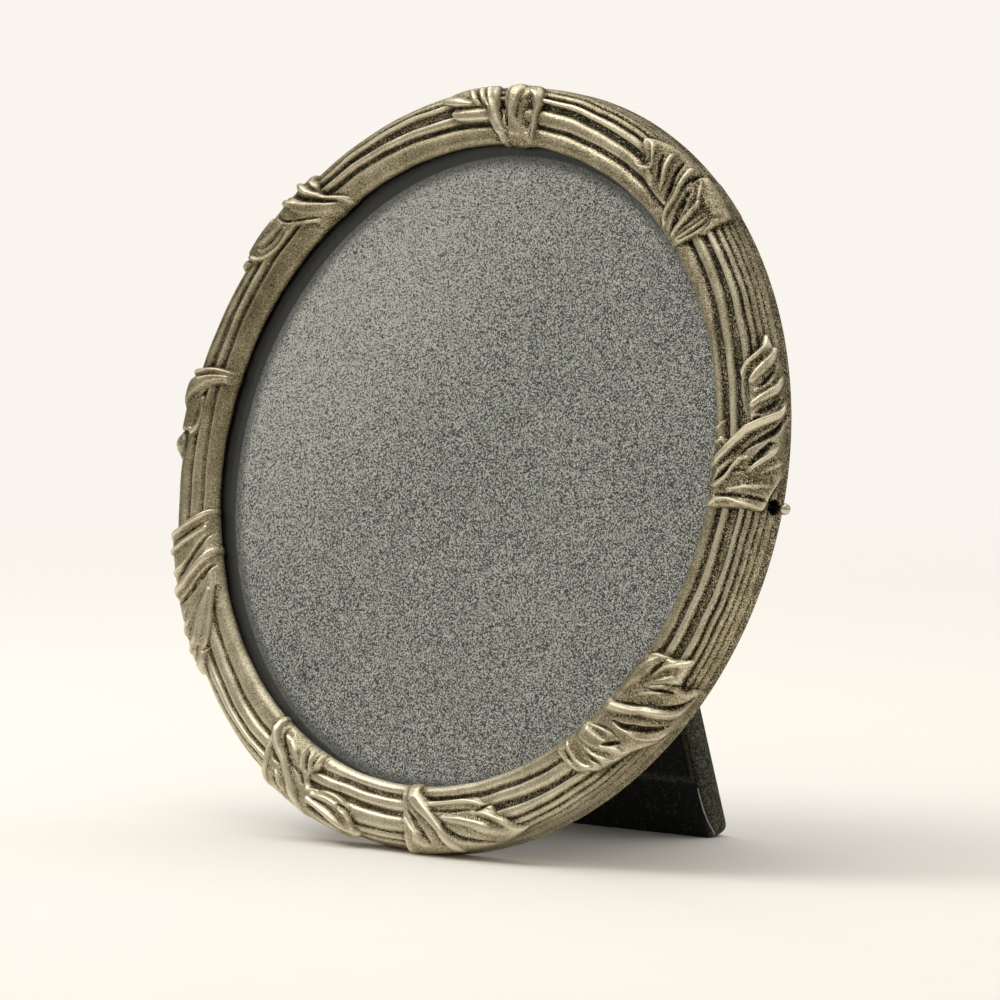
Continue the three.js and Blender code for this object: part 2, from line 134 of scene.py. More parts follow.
# Mesh from a grid of points: quads between neighbours, wrapped round where asked, flat caps on open ends
def surface(name, points, wrapU=False, wrapV=False, capU=False, capV=False):
    countU, countV = points.shape[:2]
    index = np.arange(countU * countV).reshape(countU, countV)
    rows = np.concatenate([index, index[:1]], 0) if wrapU else index
    rows = np.concatenate([rows, rows[:, :1]], 1) if wrapV else rows
    quads = np.stack([rows[:-1, :-1], rows[1:, :-1], rows[1:, 1:], rows[:-1, 1:]], -1).reshape(-1, 4)
    faces = quads.tolist()
    if capU:
        faces += [index[0].tolist(), index[-1, ::-1].tolist()]
    if capV:
        faces += [index[::-1, 0].tolist(), index[:, -1].tolist()]
    mesh = bpy.data.meshes.new(name)
    mesh.from_pydata(points.reshape(-1, 3), [], faces)
    mesh.polygons.foreach_set("use_smooth", np.ones(len(faces), bool))
    mesh.update()
    piece = bpy.data.objects.new(name, mesh)
    bpy.context.scene.collection.objects.link(piece)
    return piece


# Turns a closed mesh's faces out where its volume comes out negative
def faceOut(piece):
    mesh = piece.data
    mesh.calc_loop_triangles()
    corner = np.empty(len(mesh.loop_triangles) * 3, int)
    mesh.loop_triangles.foreach_get("vertices", corner)
    spot = np.empty(len(mesh.vertices) * 3)
    mesh.vertices.foreach_get("co", spot)
    a, b, c = spot.reshape(-1, 3)[corner.reshape(-1, 3)].transpose(1, 0, 2)
    if (a * np.cross(b, c)).sum() < 0:
        mesh.flip_normals()
    return piece


# A piece takes a finish, joins a body and stands for a solid
def dress(piece, body, finish, node):
    piece.data.materials.clear()
    piece.data.materials.append(finish)
    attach(piece, body)
    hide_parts(node)
    return piece


# A value at every point, for the finish to read
def keepValue(piece, name, values):
    kept = piece.data.attributes.new(name, "FLOAT", "POINT")
    kept.data.foreach_set("value", values.astype(np.float32).ravel())


# Smooth curve through knots: cubic spans whose slope at a knot is half the step between its neighbours
def smoothPath(knots, perSpan):
    k = np.asarray(knots, float)
    wide = np.vstack([2 * k[0] - k[1], k, 2 * k[-1] - k[-2]])
    t = np.linspace(0, 1, perSpan, endpoint=False)[None, :, None]
    a, b, c, d = (wide[i:len(k) - 1 + i][:, None] for i in range(4))
    bend = (2 * a - 5 * b + 4 * c - d) / 2 + t * (3 * (b - c) + d - a) / 2
    span = b + t * ((c - a) / 2 + t * bend)
    return np.vstack([span.reshape(-1, k.shape[1]), k[-1:]])


# Weighted mean of shifted copies along one axis, with a bell of weights
def blur(field, sigma, axis, wrap=False):
    reach = int(math.ceil(3 * sigma))
    padding = [(0, 0), (0, 0)]
    padding[axis] = (reach, reach)
    padded = np.pad(field, padding, mode="wrap" if wrap else "edge")
    weights = np.exp(-0.5 * (np.arange(-reach, reach + 1) / sigma) ** 2)
    weights /= weights.sum()
    size = field.shape[axis]
    return sum(w * np.take(padded, np.arange(k, k + size), axis) for k, w in enumerate(weights))


# Smooth step from 0 to 1
def easeStep(value):
    t = np.clip(value, 0, 1)
    return t * t * (3 - 2 * t)


# Two grooves that wander round the ring, as (degrees, mm of girth from the lip, width), and finer ones
reeds = {
    "inner": [
        (-175, 3.0, 0.8), (-140, 3.4, 0.45), (-126, 4.3, 0.5), (-104, 1.9, 0.9), (-92, 2.0, 0.8),
        (-66, 2.4, 0.8), (-58, 3.1, 0.4), (-27, 2.6, 1.2), (-8, 2.9, 1.3), (20, 2.1, 1.6), (38, 3.5, 0.6),
        (66, 3.0, 0.8), (80, 3.0, 0.45), (109, 3.8, 0.8), (126, 4.9, 0.9), (154, 4.6, 0.8), (164, 3.9, 1.0),
    ],
    "outer": [
        (-173, 6.2, 0.5), (-140, 6.5, 0.5), (-126, 7.4, 0.5), (-104, 4.8, 0.9), (-92, 5.1, 0.8),
        (-66, 5.7, 1.2), (-58, 6.6, 0.8), (-27, 5.9, 2.0), (-8, 6.3, 2.6), (20, 5.6, 1.9), (38, 6.6, 0.9),
        (66, 6.3, 1.2), (80, 7.0, 1.1), (109, 6.7, 1.7), (126, 7.2, 0.9), (154, 7.0, 1.0), (164, 6.4, 1.6),
    ],
    "fine": [8.5, 9.7, 10.9, 12.4, 14.2],
    "fineWidth": 0.26,
    "grooveEase": 4,  # degrees
    "lipStart": -0.3,  # the first band starts round the lip
    "heights": [0.92, 1.1, 1.1, 0.75, 0.6, 0.5, 0.42],
    "bluff": 3.0,  # power of a band's section
    "floor": 0.2,
    "flatAt": 162,  # at the left the grooves are shallow and each band ends in a thin ridge
    "flatHalf": 36,
    "flatEase": 8,
    "flatTo": 12.0,  # mm of girth
    "flatRun": 4.0,
    "flatFloor": 0.5,
    "ridge": 0.38,
    "ridgeIn": 0.5,
    "ridgeWidth": 0.36,
    "wander": [(3, 0.08, 0.4), (7, 0.05, 2.1), (13, 0.04, 4.0), (31, 0.05, 1.0), (53, 0.035, 3.0)],
    "wanderRun": 2.0,
    "swell": [(5, 0.05, 1.3), (11, 0.04, 0.2), (37, 0.04, 2.2)],
}


# Sum of waves round the ring, each with a count, a size and a start
def waves(turn, parts):
    angle = np.radians(turn)
    return sum(size * np.sin(count * angle + start) for count, size, start in parts)


# Groove middle and width at each angle, from its knots
def groove(turn, knots):
    turns, places, widths = np.array(knots).T
    steps = np.arange(-180, 180, 1.0)
    tables = [np.interp(steps, turns, values, period=360)[:, None] for values in (places, widths)]
    eased = [blur(table, reeds["grooveEase"], 0, True)[:, 0] for table in tables]
    return [np.interp(turn, steps, table, period=360) for table in eased]


# Rounded bands between the grooves: each a half oval with a flattened top, over a floor
def reedRelief(turn, across):
    s = across + waves(turn, reeds["wander"]) * np.clip(across / reeds["wanderRun"], 0, 1)
    grooves = [groove(turn, reeds["inner"]), groove(turn, reeds["outer"])]
    grooves += [(0 * s + place, reeds["fineWidth"]) for place in reeds["fine"]]
    starts = [0 * s + reeds["lipStart"]] + [middle + width / 2 for middle, width in grooves[:-1]]
    ends = [middle - width / 2 for middle, width in grooves]
    away = np.abs((turn - reeds["flatAt"] + 180) % 360 - 180)
    flat = np.clip((reeds["flatHalf"] - away) / reeds["flatEase"], 0, 1)
    shallow = flat * np.clip((reeds["flatTo"] - s) / reeds["flatRun"], 0, 1)
    floor = reeds["floor"] + (reeds["flatFloor"] - reeds["floor"]) * shallow
    relief = floor
    for start, end, height in zip(starts, ends, reeds["heights"]):
        q = np.clip((2 * s - start - end) / (end - start), -1, 1)
        relief = np.maximum(relief, floor + (height - floor) * (1 - np.abs(q) ** reeds["bluff"]) ** 0.5)
    for end in ends[:2]:
        q = (s - end + reeds["ridgeIn"]) / reeds["ridgeWidth"]
        relief = relief + reeds["ridge"] * flat * np.exp(-q * q)
    return relief * (1 + waves(turn, reeds["swell"]))


# Carved wraps. A body is a height and an outline of (degrees round the ring, mm of girth from the lip). A
# stroke is a section and knots of (degrees, mm of girth, half width, height). A lobe's height is from the
# ring, ribs and crests stand on what is below them, and a cut goes down by its height. Down the wall a wrap
# fades from its own girth on
carving = {}
carving["top"] = {
    "fade": 8.8,
    "bodies": [
        (1.6, (83.5, -0.5), (83.4, 3), (83.4, 6), (83.2, 8.2), (84.4, 10), (87, 12.6), (91.6, 12.4),
            (91.6, 9), (91.4, 5), (91.2, 2), (90.8, -0.5)),
        (1.6, (89.6, -0.5), (90.6, 3), (91.6, 6), (92.2, 8.4), (94, 11.6), (97, 12), (100, 10.6),
            (104.6, 9), (103.6, 8), (101.8, 7.2), (102, 6), (101.6, 4.8), (100.4, 4.1), (97, 3.7),
            (94, 3.5), (92.6, 2.7), (91.4, 1.4), (90.8, -0.5)),
    ],
    "strokes": [
        ("lobe", (87.2, 0.4, 2.9, 2), (87.8, 2.2, 2.2, 2.2), (88.6, 4.4, 1.3, 2.4),
            (88.9, 6.6, 1.6, 2.4), (89, 8.8, 2.3, 2.2)),
        ("lobe", (90, 0.6, 1.3, 2), (91.5, 2.6, 1.4, 2.3), (92.7, 4.6, 1.6, 2.4), (93.4, 6.6, 1.4, 2.4),
            (94.6, 9, 1, 2)),
        ("lobe", (93.6, 5, 1.6, 2.2), (97, 5.1, 1.6, 2.2), (100, 5.4, 1.4, 2.1), (101.4, 6, 0.7, 1.8)),
        ("lobe", (97.8, 7.4, 0.6, 2), (100.4, 7.9, 0.9, 2.3), (103.2, 8.5, 0.4, 1.8)),
        ("rib", (84, 1.6, 0.25, 0.1), (83.9, 4.5, 0.3, 0.2), (84, 7, 0.3, 0.3), (84.6, 8.4, 0.35, 0.6),
            (86, 8.9, 0.35, 0.5)),
        ("rib", (94.2, 6.8, 0.35, 0.2), (95.3, 8, 0.55, 0.4), (96.6, 9.6, 0.4, 0.2)),
        ("rib", (95.9, 7, 0.35, 0.2), (97.1, 8.1, 0.55, 0.4), (98.4, 9.4, 0.4, 0.2)),
        ("rib", (98, 6.8, 0.2, 0.2), (100.4, 7.2, 0.25, 0.3), (103, 8, 0.2, 0.2)),
        ("cut", (85.2, 2.2, 0.6, 0.4), (85.6, 4, 1.4, 1), (85.9, 6.2, 1.6, 1.2), (86, 7.8, 1, 0.7)),
        ("cut", (84.3, 1.2, 0.25, 0.4), (84.5, 2.6, 0.3, 0.5), (84.6, 4.2, 0.2, 0.3)),
        ("cut", (89.5, 2.8, 0.2, 0.8), (90.1, 4.4, 0.45, 1.4), (90.9, 6.2, 0.5, 1.5),
            (91.7, 8.2, 0.4, 1.1)),
        ("cut", (93.8, 6.8, 0.2, 0.4), (94.6, 8.2, 0.3, 0.8), (95.6, 9.4, 0.2, 0.5)),
        ("cut", (95.2, 6.8, 0.2, 0.4), (96.3, 8.2, 0.3, 0.8), (97.6, 9.4, 0.2, 0.5)),
        ("cut", (95.4, 6.6, 0.2, 0.3), (98, 6.7, 0.25, 0.6), (101.4, 7.2, 0.25, 0.6)),
    ],
}
carving["upperRight"] = {
    "fade": 10.4,
    "bodies": [
        (1.6, (43.4, -0.5), (42.8, 1), (42, 3.4), (41.1, 6), (40.6, 8.4), (40.8, 10.4), (41.8, 13),
            (43, 17), (49.4, 17), (50.2, 13), (50.2, 9), (49.6, 5), (48.8, 2), (47.8, 0.4), (47.2, -0.5)),
        (1.5, (49.2, 4), (50, 2.9), (53, 2.7), (56, 3.1), (58.4, 3.8), (61, 4.5), (61.2, 5.2),
            (59.6, 5.8), (59.6, 7), (61, 7.6), (61.8, 8.6), (61.4, 9.6), (58.6, 10.8), (54.6, 12),
            (51, 12), (49.6, 9.4)),
    ],
    "strokes": [
        ("lobe", (42.8, 10.2, 1.8, 2), (45.4, 10.8, 2.6, 2.2), (48.4, 11.6, 1.9, 2.2)),
        ("lobe", (45, 1.2, 0.4, 2), (45.1, 3.4, 0.6, 2.3), (45.2, 6, 0.8, 2.3), (45.4, 8.2, 0.9, 2.1)),
        ("lobe", (47.9, 1, 0.6, 1.9), (49.1, 3, 0.6, 2.3), (49.5, 5.6, 0.55, 2.4), (50, 7.8, 0.6, 2.4),
            (51.4, 10, 0.7, 2)),
        ("lobe", (53, 4.8, 0.5, 1.8), (53.8, 7, 0.75, 2.2), (55.4, 9.4, 0.7, 2)),
        ("lobe", (55.4, 4.4, 1.1, 1.8), (57, 5.2, 0.9, 1.8)),
        ("crest", (43.9, 1.6, 0.3, 0.3), (43.1, 5, 0.4, 0.5), (42.6, 8.4, 0.3, 0.3)),
        ("crest", (43.1, 1.4, 0.3, 0.3), (42, 5, 0.4, 0.5), (41.4, 8.4, 0.3, 0.3)),
        ("crest", (44.4, 2.4, 0.25, 0.3), (43.9, 5.6, 0.35, 0.5), (43.4, 8.4, 0.25, 0.3)),
        ("rib", (46.8, 2, 0.15, 0.2), (47.4, 5, 0.2, 0.4), (47.7, 7.8, 0.15, 0.2)),
        ("rib", (44.8, 8.3, 0.2, 0.4), (46.6, 9.1, 0.28, 0.7), (48.6, 10.1, 0.2, 0.4)),
        ("rib", (60.8, 4.8, 0.25, 0.2), (59, 5.1, 0.3, 0.35), (57.5, 5.8, 0.3, 0.5),
            (57.1, 6.8, 0.3, 0.5), (58, 8.1, 0.35, 0.5), (59.6, 9, 0.3, 0.4), (61.4, 9, 0.15, 0.2)),
        ("cut", (46, 1.4, 0.35, 0.8), (46.7, 3.4, 0.8, 1.4), (47.6, 5.8, 0.95, 1.5), (48.2, 8, 0.6, 1.2)),
        ("cut", (50.8, 4, 0.35, 0.6), (51.5, 6, 0.7, 1), (52.4, 8.2, 0.5, 0.9), (53.2, 10, 0.25, 0.5)),
        ("cut", (54.4, 5.2, 0.25, 0.5), (55.5, 7.2, 0.35, 0.9), (56.6, 8.9, 0.25, 0.6)),
        ("cut", (60.2, 5.5, 0.3, 0.5), (58.8, 6, 0.5, 1), (58.4, 6.9, 0.35, 0.6)),
        ("cut", (42.6, 2.4, 0.25, 0.5), (41.7, 6, 0.35, 0.7), (41.5, 8.4, 0.25, 0.5)),
        ("cut", (43.5, 2, 0.15, 0.3), (42.6, 5.4, 0.2, 0.6), (42.1, 8.4, 0.15, 0.4)),
        ("cut", (49.4, 9.4, 0.2, 0.6), (50, 10.8, 0.35, 1.2), (50.1, 12.6, 0.3, 1)),
    ],
}
carving["right"] = {
    "fade": 11.8,
    "bodies": [
        (1.6, (-5.2, -0.5), (-5, 2), (-4.6, 5), (-4.4, 8), (-4.4, 10), (-3.8, 11.2), (-1.4, 12.2),
            (1, 14.4), (3.4, 17), (14, 17), (17.4, 14), (20, 12), (22.4, 10.9), (20.2, 9.6), (18.6, 7.8),
            (17, 6.3), (14.2, 5.8), (11, 6.2), (8.8, 7), (7.2, 6), (6, 4.2), (5, 2.6), (4.4, 1),
            (4, -0.5)),
        (1.3, (4.2, -0.5), (4.8, 1.4), (6.4, 3), (7.2, 2), (8, 1.4), (9, 2), (10, 2.3), (9.8, 1),
            (8.8, -0.5)),
    ],
    "strokes": [
        ("lobe", (2.4, -0.2, 1.5, 2.2), (3.8, 2.2, 1.1, 2.6), (5.4, 4.6, 1, 2.8), (7, 7.2, 0.95, 2.9),
            (8.8, 9.6, 0.95, 2.8), (11, 12.6, 0.9, 2.5), (13, 15.4, 0.6, 1.8)),
        ("lobe", (11.4, 8.4, 0.7, 2), (13.4, 10.8, 0.9, 2.3), (15.6, 13.2, 0.8, 2)),
        ("lobe", (15.2, 8.4, 0.7, 2), (17.4, 10.2, 0.9, 2.2), (19.6, 11.8, 0.6, 1.9)),
        ("rib", (8.8, 6.7, 0.25, 0.1), (11, 6.2, 0.3, 0.15), (14.2, 5.9, 0.3, 0.3), (16, 6, 0.35, 0.5),
            (17.3, 7.2, 0.4, 0.7), (18.6, 8.8, 0.35, 0.7), (20.2, 10.2, 0.25, 0.5),
            (21.8, 10.8, 0.15, 0.2)),
        ("crest", (-4.4, 0.6, 0.6, 0.3), (-3.4, 2.4, 0.6, 0.6), (-3, 5, 0.5, 0.7), (-3.4, 8, 0.45, 0.6),
            (-3.9, 10.8, 0.25, 0.2)),
        ("crest", (-1.6, 4.6, 0.4, 0.3), (-1.2, 7, 0.45, 0.6), (-0.7, 9.4, 0.4, 0.5),
            (-0.2, 11, 0.25, 0.2)),
        ("rib", (-1, 0.8, 0.35, 0.3), (-0.8, 2.2, 0.4, 0.6), (0.6, 4, 0.4, 0.7), (2.4, 5.5, 0.4, 0.7),
            (3.3, 6.7, 0.35, 0.6), (3.4, 8, 0.2, 0.2)),
        ("crest", (1.4, 1.6, 0.2, 0.2), (2.6, 3.4, 0.25, 0.4), (3.2, 4.6, 0.2, 0.2)),
        ("rib", (4.6, 2.2, 0.25, 0.2), (6.1, 4.9, 0.35, 0.45), (7.5, 7.4, 0.35, 0.5),
            (9.2, 9.8, 0.3, 0.4), (11.2, 12.4, 0.3, 0.3)),
        ("rib", (1.4, 8.4, 0.25, 0.3), (2.8, 9.4, 0.35, 0.6), (4.4, 10.8, 0.35, 0.5),
            (5.8, 12, 0.2, 0.2)),
        ("rib", (1.2, 9.6, 0.2, 0.1), (2.4, 11, 0.35, 0.4), (3.2, 12.8, 0.3, 0.3), (3.8, 14.6, 0.2, 0.1)),
        ("rib", (9.6, 8.4, 0.18, 0.3), (9.8, 9.7, 0.22, 0.4), (11, 11, 0.22, 0.4),
            (12.8, 12.6, 0.15, 0.2)),
        ("rib", (9.6, 8.4, 0.15, 0.2), (10.9, 9.1, 0.18, 0.25), (12.2, 10.4, 0.15, 0.1)),
        ("rib", (13.4, 8.8, 0.18, 0.3), (14.2, 10.1, 0.22, 0.4), (16, 11.1, 0.18, 0.3),
            (17.4, 12.2, 0.15, 0.1)),
        ("rib", (13.4, 8.7, 0.15, 0.2), (15, 9, 0.15, 0.15), (16.4, 10, 0.12, 0.1)),
        ("cut", (9, 7.5, 0.5, 0.3), (11.6, 7.3, 0.9, 0.7), (14.8, 7.3, 0.9, 0.8), (16.8, 8.2, 0.5, 0.4)),
        ("cut", (-0.2, 1.2, 0.3, 0.7), (0.8, 2.4, 0.6, 1.5), (1.9, 3.8, 0.45, 1.3), (2.8, 5, 0.25, 0.6)),
        ("cut", (4, 6.4, 0.25, 0.5), (5.4, 8.4, 0.35, 1), (7.2, 10.6, 0.5, 1.3), (9, 12.8, 0.6, 1.4),
            (10.6, 14.8, 0.5, 1)),
        ("cut", (2.4, 8.4, 0.3, 0.8), (4, 9.4, 0.5, 1.3), (5.8, 10.6, 0.4, 1)),
        ("cut", (5, 1.8, 0.25, 0.5), (6.8, 5, 0.25, 0.7), (8.2, 7.6, 0.3, 0.8), (9.4, 9.2, 0.2, 0.5)),
        ("cut", (-2.6, 2, 0.3, 0.4), (-2.4, 5, 0.4, 0.6), (-2.3, 8, 0.45, 0.7), (-2.4, 10.6, 0.45, 0.7)),
        ("cut", (10.2, 9.1, 0.3, 0.4), (11, 10.3, 0.4, 0.5), (12.2, 11.8, 0.25, 0.3)),
        ("cut", (14, 9.3, 0.3, 0.4), (15, 10.1, 0.4, 0.5), (16.2, 11, 0.25, 0.3)),
        ("cut", (1.2, 4.4, 0.2, 0.2), (1.6, 6, 0.5, 0.4), (1.4, 7.6, 0.4, 0.3)),
        ("cut", (3, -0.2, 0.4, 0.5), (4.6, 0.6, 0.7, 0.9), (6, 1.6, 0.4, 0.7)),
        ("cut", (6.9, 0.2, 0.3, 0.5), (7.6, 0.8, 0.5, 0.8), (8.4, 1.3, 0.3, 0.4)),
        ("rib", (6.2, -0.4, 0.3, 0.3), (6.4, 1.2, 0.35, 0.6), (6.6, 2.6, 0.15, 0.2)),
        ("rib", (8.2, 0.2, 0.3, 0.2), (9, 1.1, 0.35, 0.5), (9.8, 1.9, 0.15, 0.2)),
    ],
}
carving["lowerRight"] = {
    "fade": 11.2,
    "bodies": [
        (1.6, (-56.6, -0.5), (-56.2, 2), (-55.4, 4.6), (-53.8, 7.4), (-51.4, 8.8), (-48.6, 9.6),
            (-45, 10.2), (-42.6, 11.4), (-40, 13.4), (-38, 15.4), (-36.6, 17), (-32.2, 17), (-31.2, 14),
            (-31.4, 11.6), (-32, 10), (-30, 9.7), (-27.3, 9.7), (-28.2, 8), (-29.2, 6), (-29.5, 4),
            (-30.2, 2.2), (-31.4, 0.8), (-32.6, -0.5)),
    ],
    "strokes": [
        ("lobe", (-49.6, -0.2, 2.2, 1.9), (-49.2, 2.6, 2.3, 2.2), (-48, 5.4, 2, 2.2),
            (-46.8, 7.6, 1.2, 2), (-45.6, 9.2, 0.5, 1.8)),
        ("lobe", (-43.6, -0.3, 1.6, 2), (-42, 2.6, 1.5, 2.4), (-40.2, 5.4, 1.4, 2.5),
            (-38.2, 8, 1.3, 2.5), (-36.2, 10.4, 1.2, 2.2), (-34.4, 13, 0.9, 1.4)),
        ("lobe", (-38.6, 0.4, 1.6, 1.9), (-35.4, 1.8, 2, 2.1), (-32.6, 2.8, 1.6, 2.1),
            (-31, 3.4, 0.6, 1.8)),
        ("lobe", (-35.4, 5.4, 1.2, 1.8), (-33.4, 7.2, 1.4, 2), (-31.6, 8.6, 0.8, 1.8)),
        ("rib", (-53.6, 0.6, 0.35, 0.1), (-53.4, 3, 0.35, 0.3), (-53, 5.4, 0.35, 0.35),
            (-51.8, 7.6, 0.3, 0.3), (-50.2, 9, 0.2, 0.1)),
        ("rib", (-51.5, 1.8, 0.3, 0.1), (-50.6, 4.2, 0.35, 0.3), (-49.7, 6.6, 0.35, 0.4),
            (-48.2, 8.7, 0.3, 0.35), (-45, 10, 0.2, 0.2)),
        ("rib", (-48.2, 0.8, 0.35, 0.2), (-46.8, 2.6, 0.4, 0.4), (-45.9, 4.4, 0.4, 0.4),
            (-45.3, 6.2, 0.25, 0.2)),
        ("rib", (-47.7, 6.6, 0.2, 0.15), (-46.4, 8.1, 0.3, 0.35), (-44.8, 9.7, 0.25, 0.2)),
        ("rib", (-42.6, 1.2, 0.3, 0.15), (-41, 4, 0.35, 0.4), (-39.3, 6.8, 0.35, 0.5),
            (-37.4, 9, 0.3, 0.45), (-35.4, 11, 0.3, 0.3), (-33.4, 13, 0.2, 0.1)),
        ("rib", (-43.9, 4.6, 0.2, 0.15), (-43.2, 7, 0.3, 0.35), (-42, 9.4, 0.3, 0.35),
            (-40, 11.4, 0.3, 0.3), (-37.6, 13.4, 0.2, 0.1)),
        ("rib", (-31.6, 0.8, 0.3, 0.15), (-30.5, 2.8, 0.35, 0.4), (-29.8, 4.8, 0.3, 0.35),
            (-29, 6.4, 0.2, 0.1)),
        ("rib", (-33.4, 4.8, 0.25, 0.25), (-31.4, 5.8, 0.4, 0.5), (-29.9, 7.6, 0.45, 0.55),
            (-28.2, 9.3, 0.15, 0.2)),
        ("rib", (-37.6, 4.4, 0.25, 0.1), (-36, 6.4, 0.3, 0.25), (-34.6, 8.6, 0.2, 0.15)),
        ("cut", (-54.3, 2, 0.2, 0.4), (-54.2, 3.6, 0.35, 0.8), (-53.9, 5, 0.2, 0.4)),
        ("cut", (-50.7, 5.6, 0.2, 0.4), (-50.2, 7.2, 0.3, 0.8), (-49.4, 8.6, 0.2, 0.5)),
        ("cut", (-47.3, 1.4, 0.2, 0.4), (-45.8, 3.6, 0.25, 0.6), (-45, 5.4, 0.2, 0.5),
            (-44.6, 7.4, 0.2, 0.4)),
        ("cut", (-47.4, 6.2, 0.25, 0.6), (-46.2, 7.2, 0.5, 1.1), (-44.8, 8.2, 0.25, 0.6)),
        ("cut", (-43.7, 4.2, 0.25, 0.6), (-42.8, 6.4, 0.5, 1.2), (-41.2, 8.6, 0.6, 1.2),
            (-39.4, 10.2, 0.5, 1), (-37.8, 11.6, 0.3, 0.5)),
        ("cut", (-41.8, 1.2, 0.2, 0.4), (-40.2, 3.6, 0.25, 0.6), (-38.6, 6.2, 0.25, 0.6),
            (-36.8, 8.6, 0.25, 0.7), (-34.8, 10.6, 0.4, 0.8), (-33, 12.4, 0.6, 0.9)),
        ("cut", (-33.6, 4, 0.2, 0.4), (-32, 4.4, 0.4, 0.8), (-30.4, 5, 0.2, 0.5)),
        ("cut", (-36, 4.6, 0.15, 0.4), (-34.9, 7, 0.25, 0.6), (-33.4, 9.2, 0.3, 0.7)),
        ("cut", (-34.8, 5.6, 0.15, 0.3), (-33.4, 7.6, 0.2, 0.5), (-32, 9.4, 0.25, 0.6)),
    ],
}
carving["bottom"] = {
    "fade": 10.4,
    "bodies": [
        (1.55, (-91.3, -0.5), (-91.2, 1), (-90.4, 3.4), (-89.8, 6), (-89.2, 8.6), (-88.9, 12.8),
            (-80, 13.4), (-74, 12.6), (-69, 11.4), (-65.6, 10.4), (-67.4, 9.2), (-69, 7.6), (-70.6, 6.2),
            (-71.2, 4.8), (-72.6, 3.8), (-74, 2.6), (-76, 2.3), (-80, 2.3), (-83.6, 2.4), (-85.2, 1.6),
            (-86.4, 0.6), (-86.8, -0.5)),
    ],
    "strokes": [
        ("lobe", (-88.7, -0.3, 2, 2), (-87.2, 2.2, 1.9, 2.4), (-84.7, 4.4, 1.5, 2.6),
            (-82.5, 6.7, 1.1, 2.5), (-80.6, 8.9, 0.9, 2.3), (-78.6, 11.2, 0.8, 1.7)),
        ("lobe", (-84.4, 3, 0.8, 2), (-80.6, 3, 0.7, 2.2), (-77, 3.1, 0.7, 2.2), (-74.6, 3.7, 0.6, 2.1),
            (-72.8, 4.6, 0.3, 1.8)),
        ("lobe", (-81.4, 5.7, 0.7, 1.9), (-78, 6.5, 1.1, 2.1), (-75, 7.6, 1.1, 2.1), (-72, 9, 0.8, 1.9),
            (-69, 10, 0.3, 1.6)),
        ("lobe", (-86.8, 8.8, 0.9, 1.8), (-85, 9.6, 0.5, 1.7)),
        ("rib", (-89.8, 3.2, 0.25, 0.2), (-89.4, 5.6, 0.3, 0.35), (-88.9, 8.4, 0.3, 0.3),
            (-88.8, 10.6, 0.2, 0.1)),
        ("rib", (-89.1, 5.8, 0.2, 0.2), (-87.5, 7.6, 0.3, 0.35), (-85.7, 9, 0.3, 0.3),
            (-84.2, 9.7, 0.2, 0.15)),
        ("rib", (-75.4, 5.6, 0.3, 0.25), (-73, 6.1, 0.55, 0.6), (-71, 7.3, 0.5, 0.6),
            (-68.4, 9.2, 0.15, 0.2)),
        ("rib", (-86.3, 0.8, 0.2, 0.15), (-85, 2.2, 0.25, 0.25), (-83.4, 3, 0.2, 0.15)),
        ("cut", (-88.8, 4.1, 0.3, 0.6), (-87.3, 5.9, 0.6, 1.1), (-85.7, 7.7, 0.6, 1),
            (-84, 9.2, 0.3, 0.6)),
        ("cut", (-83.4, 4.2, 0.25, 0.3), (-80, 4.5, 0.4, 0.6), (-77, 4.7, 0.35, 0.6),
            (-75.4, 5, 0.2, 0.3)),
        ("cut", (-74.4, 5.4, 0.2, 0.7), (-73, 5, 0.35, 1), (-71.6, 4.7, 0.25, 0.7)),
        ("cut", (-81.6, 5.8, 0.15, 0.4), (-80.6, 7.6, 0.4, 1), (-78.6, 8.8, 0.4, 1),
            (-76, 9.6, 0.35, 0.8), (-72.4, 10.6, 0.25, 0.5)),
        ("cut", (-74.4, 6.3, 0.15, 0.3), (-72, 7.8, 0.2, 0.5), (-69.6, 9.1, 0.15, 0.3)),
    ],
}
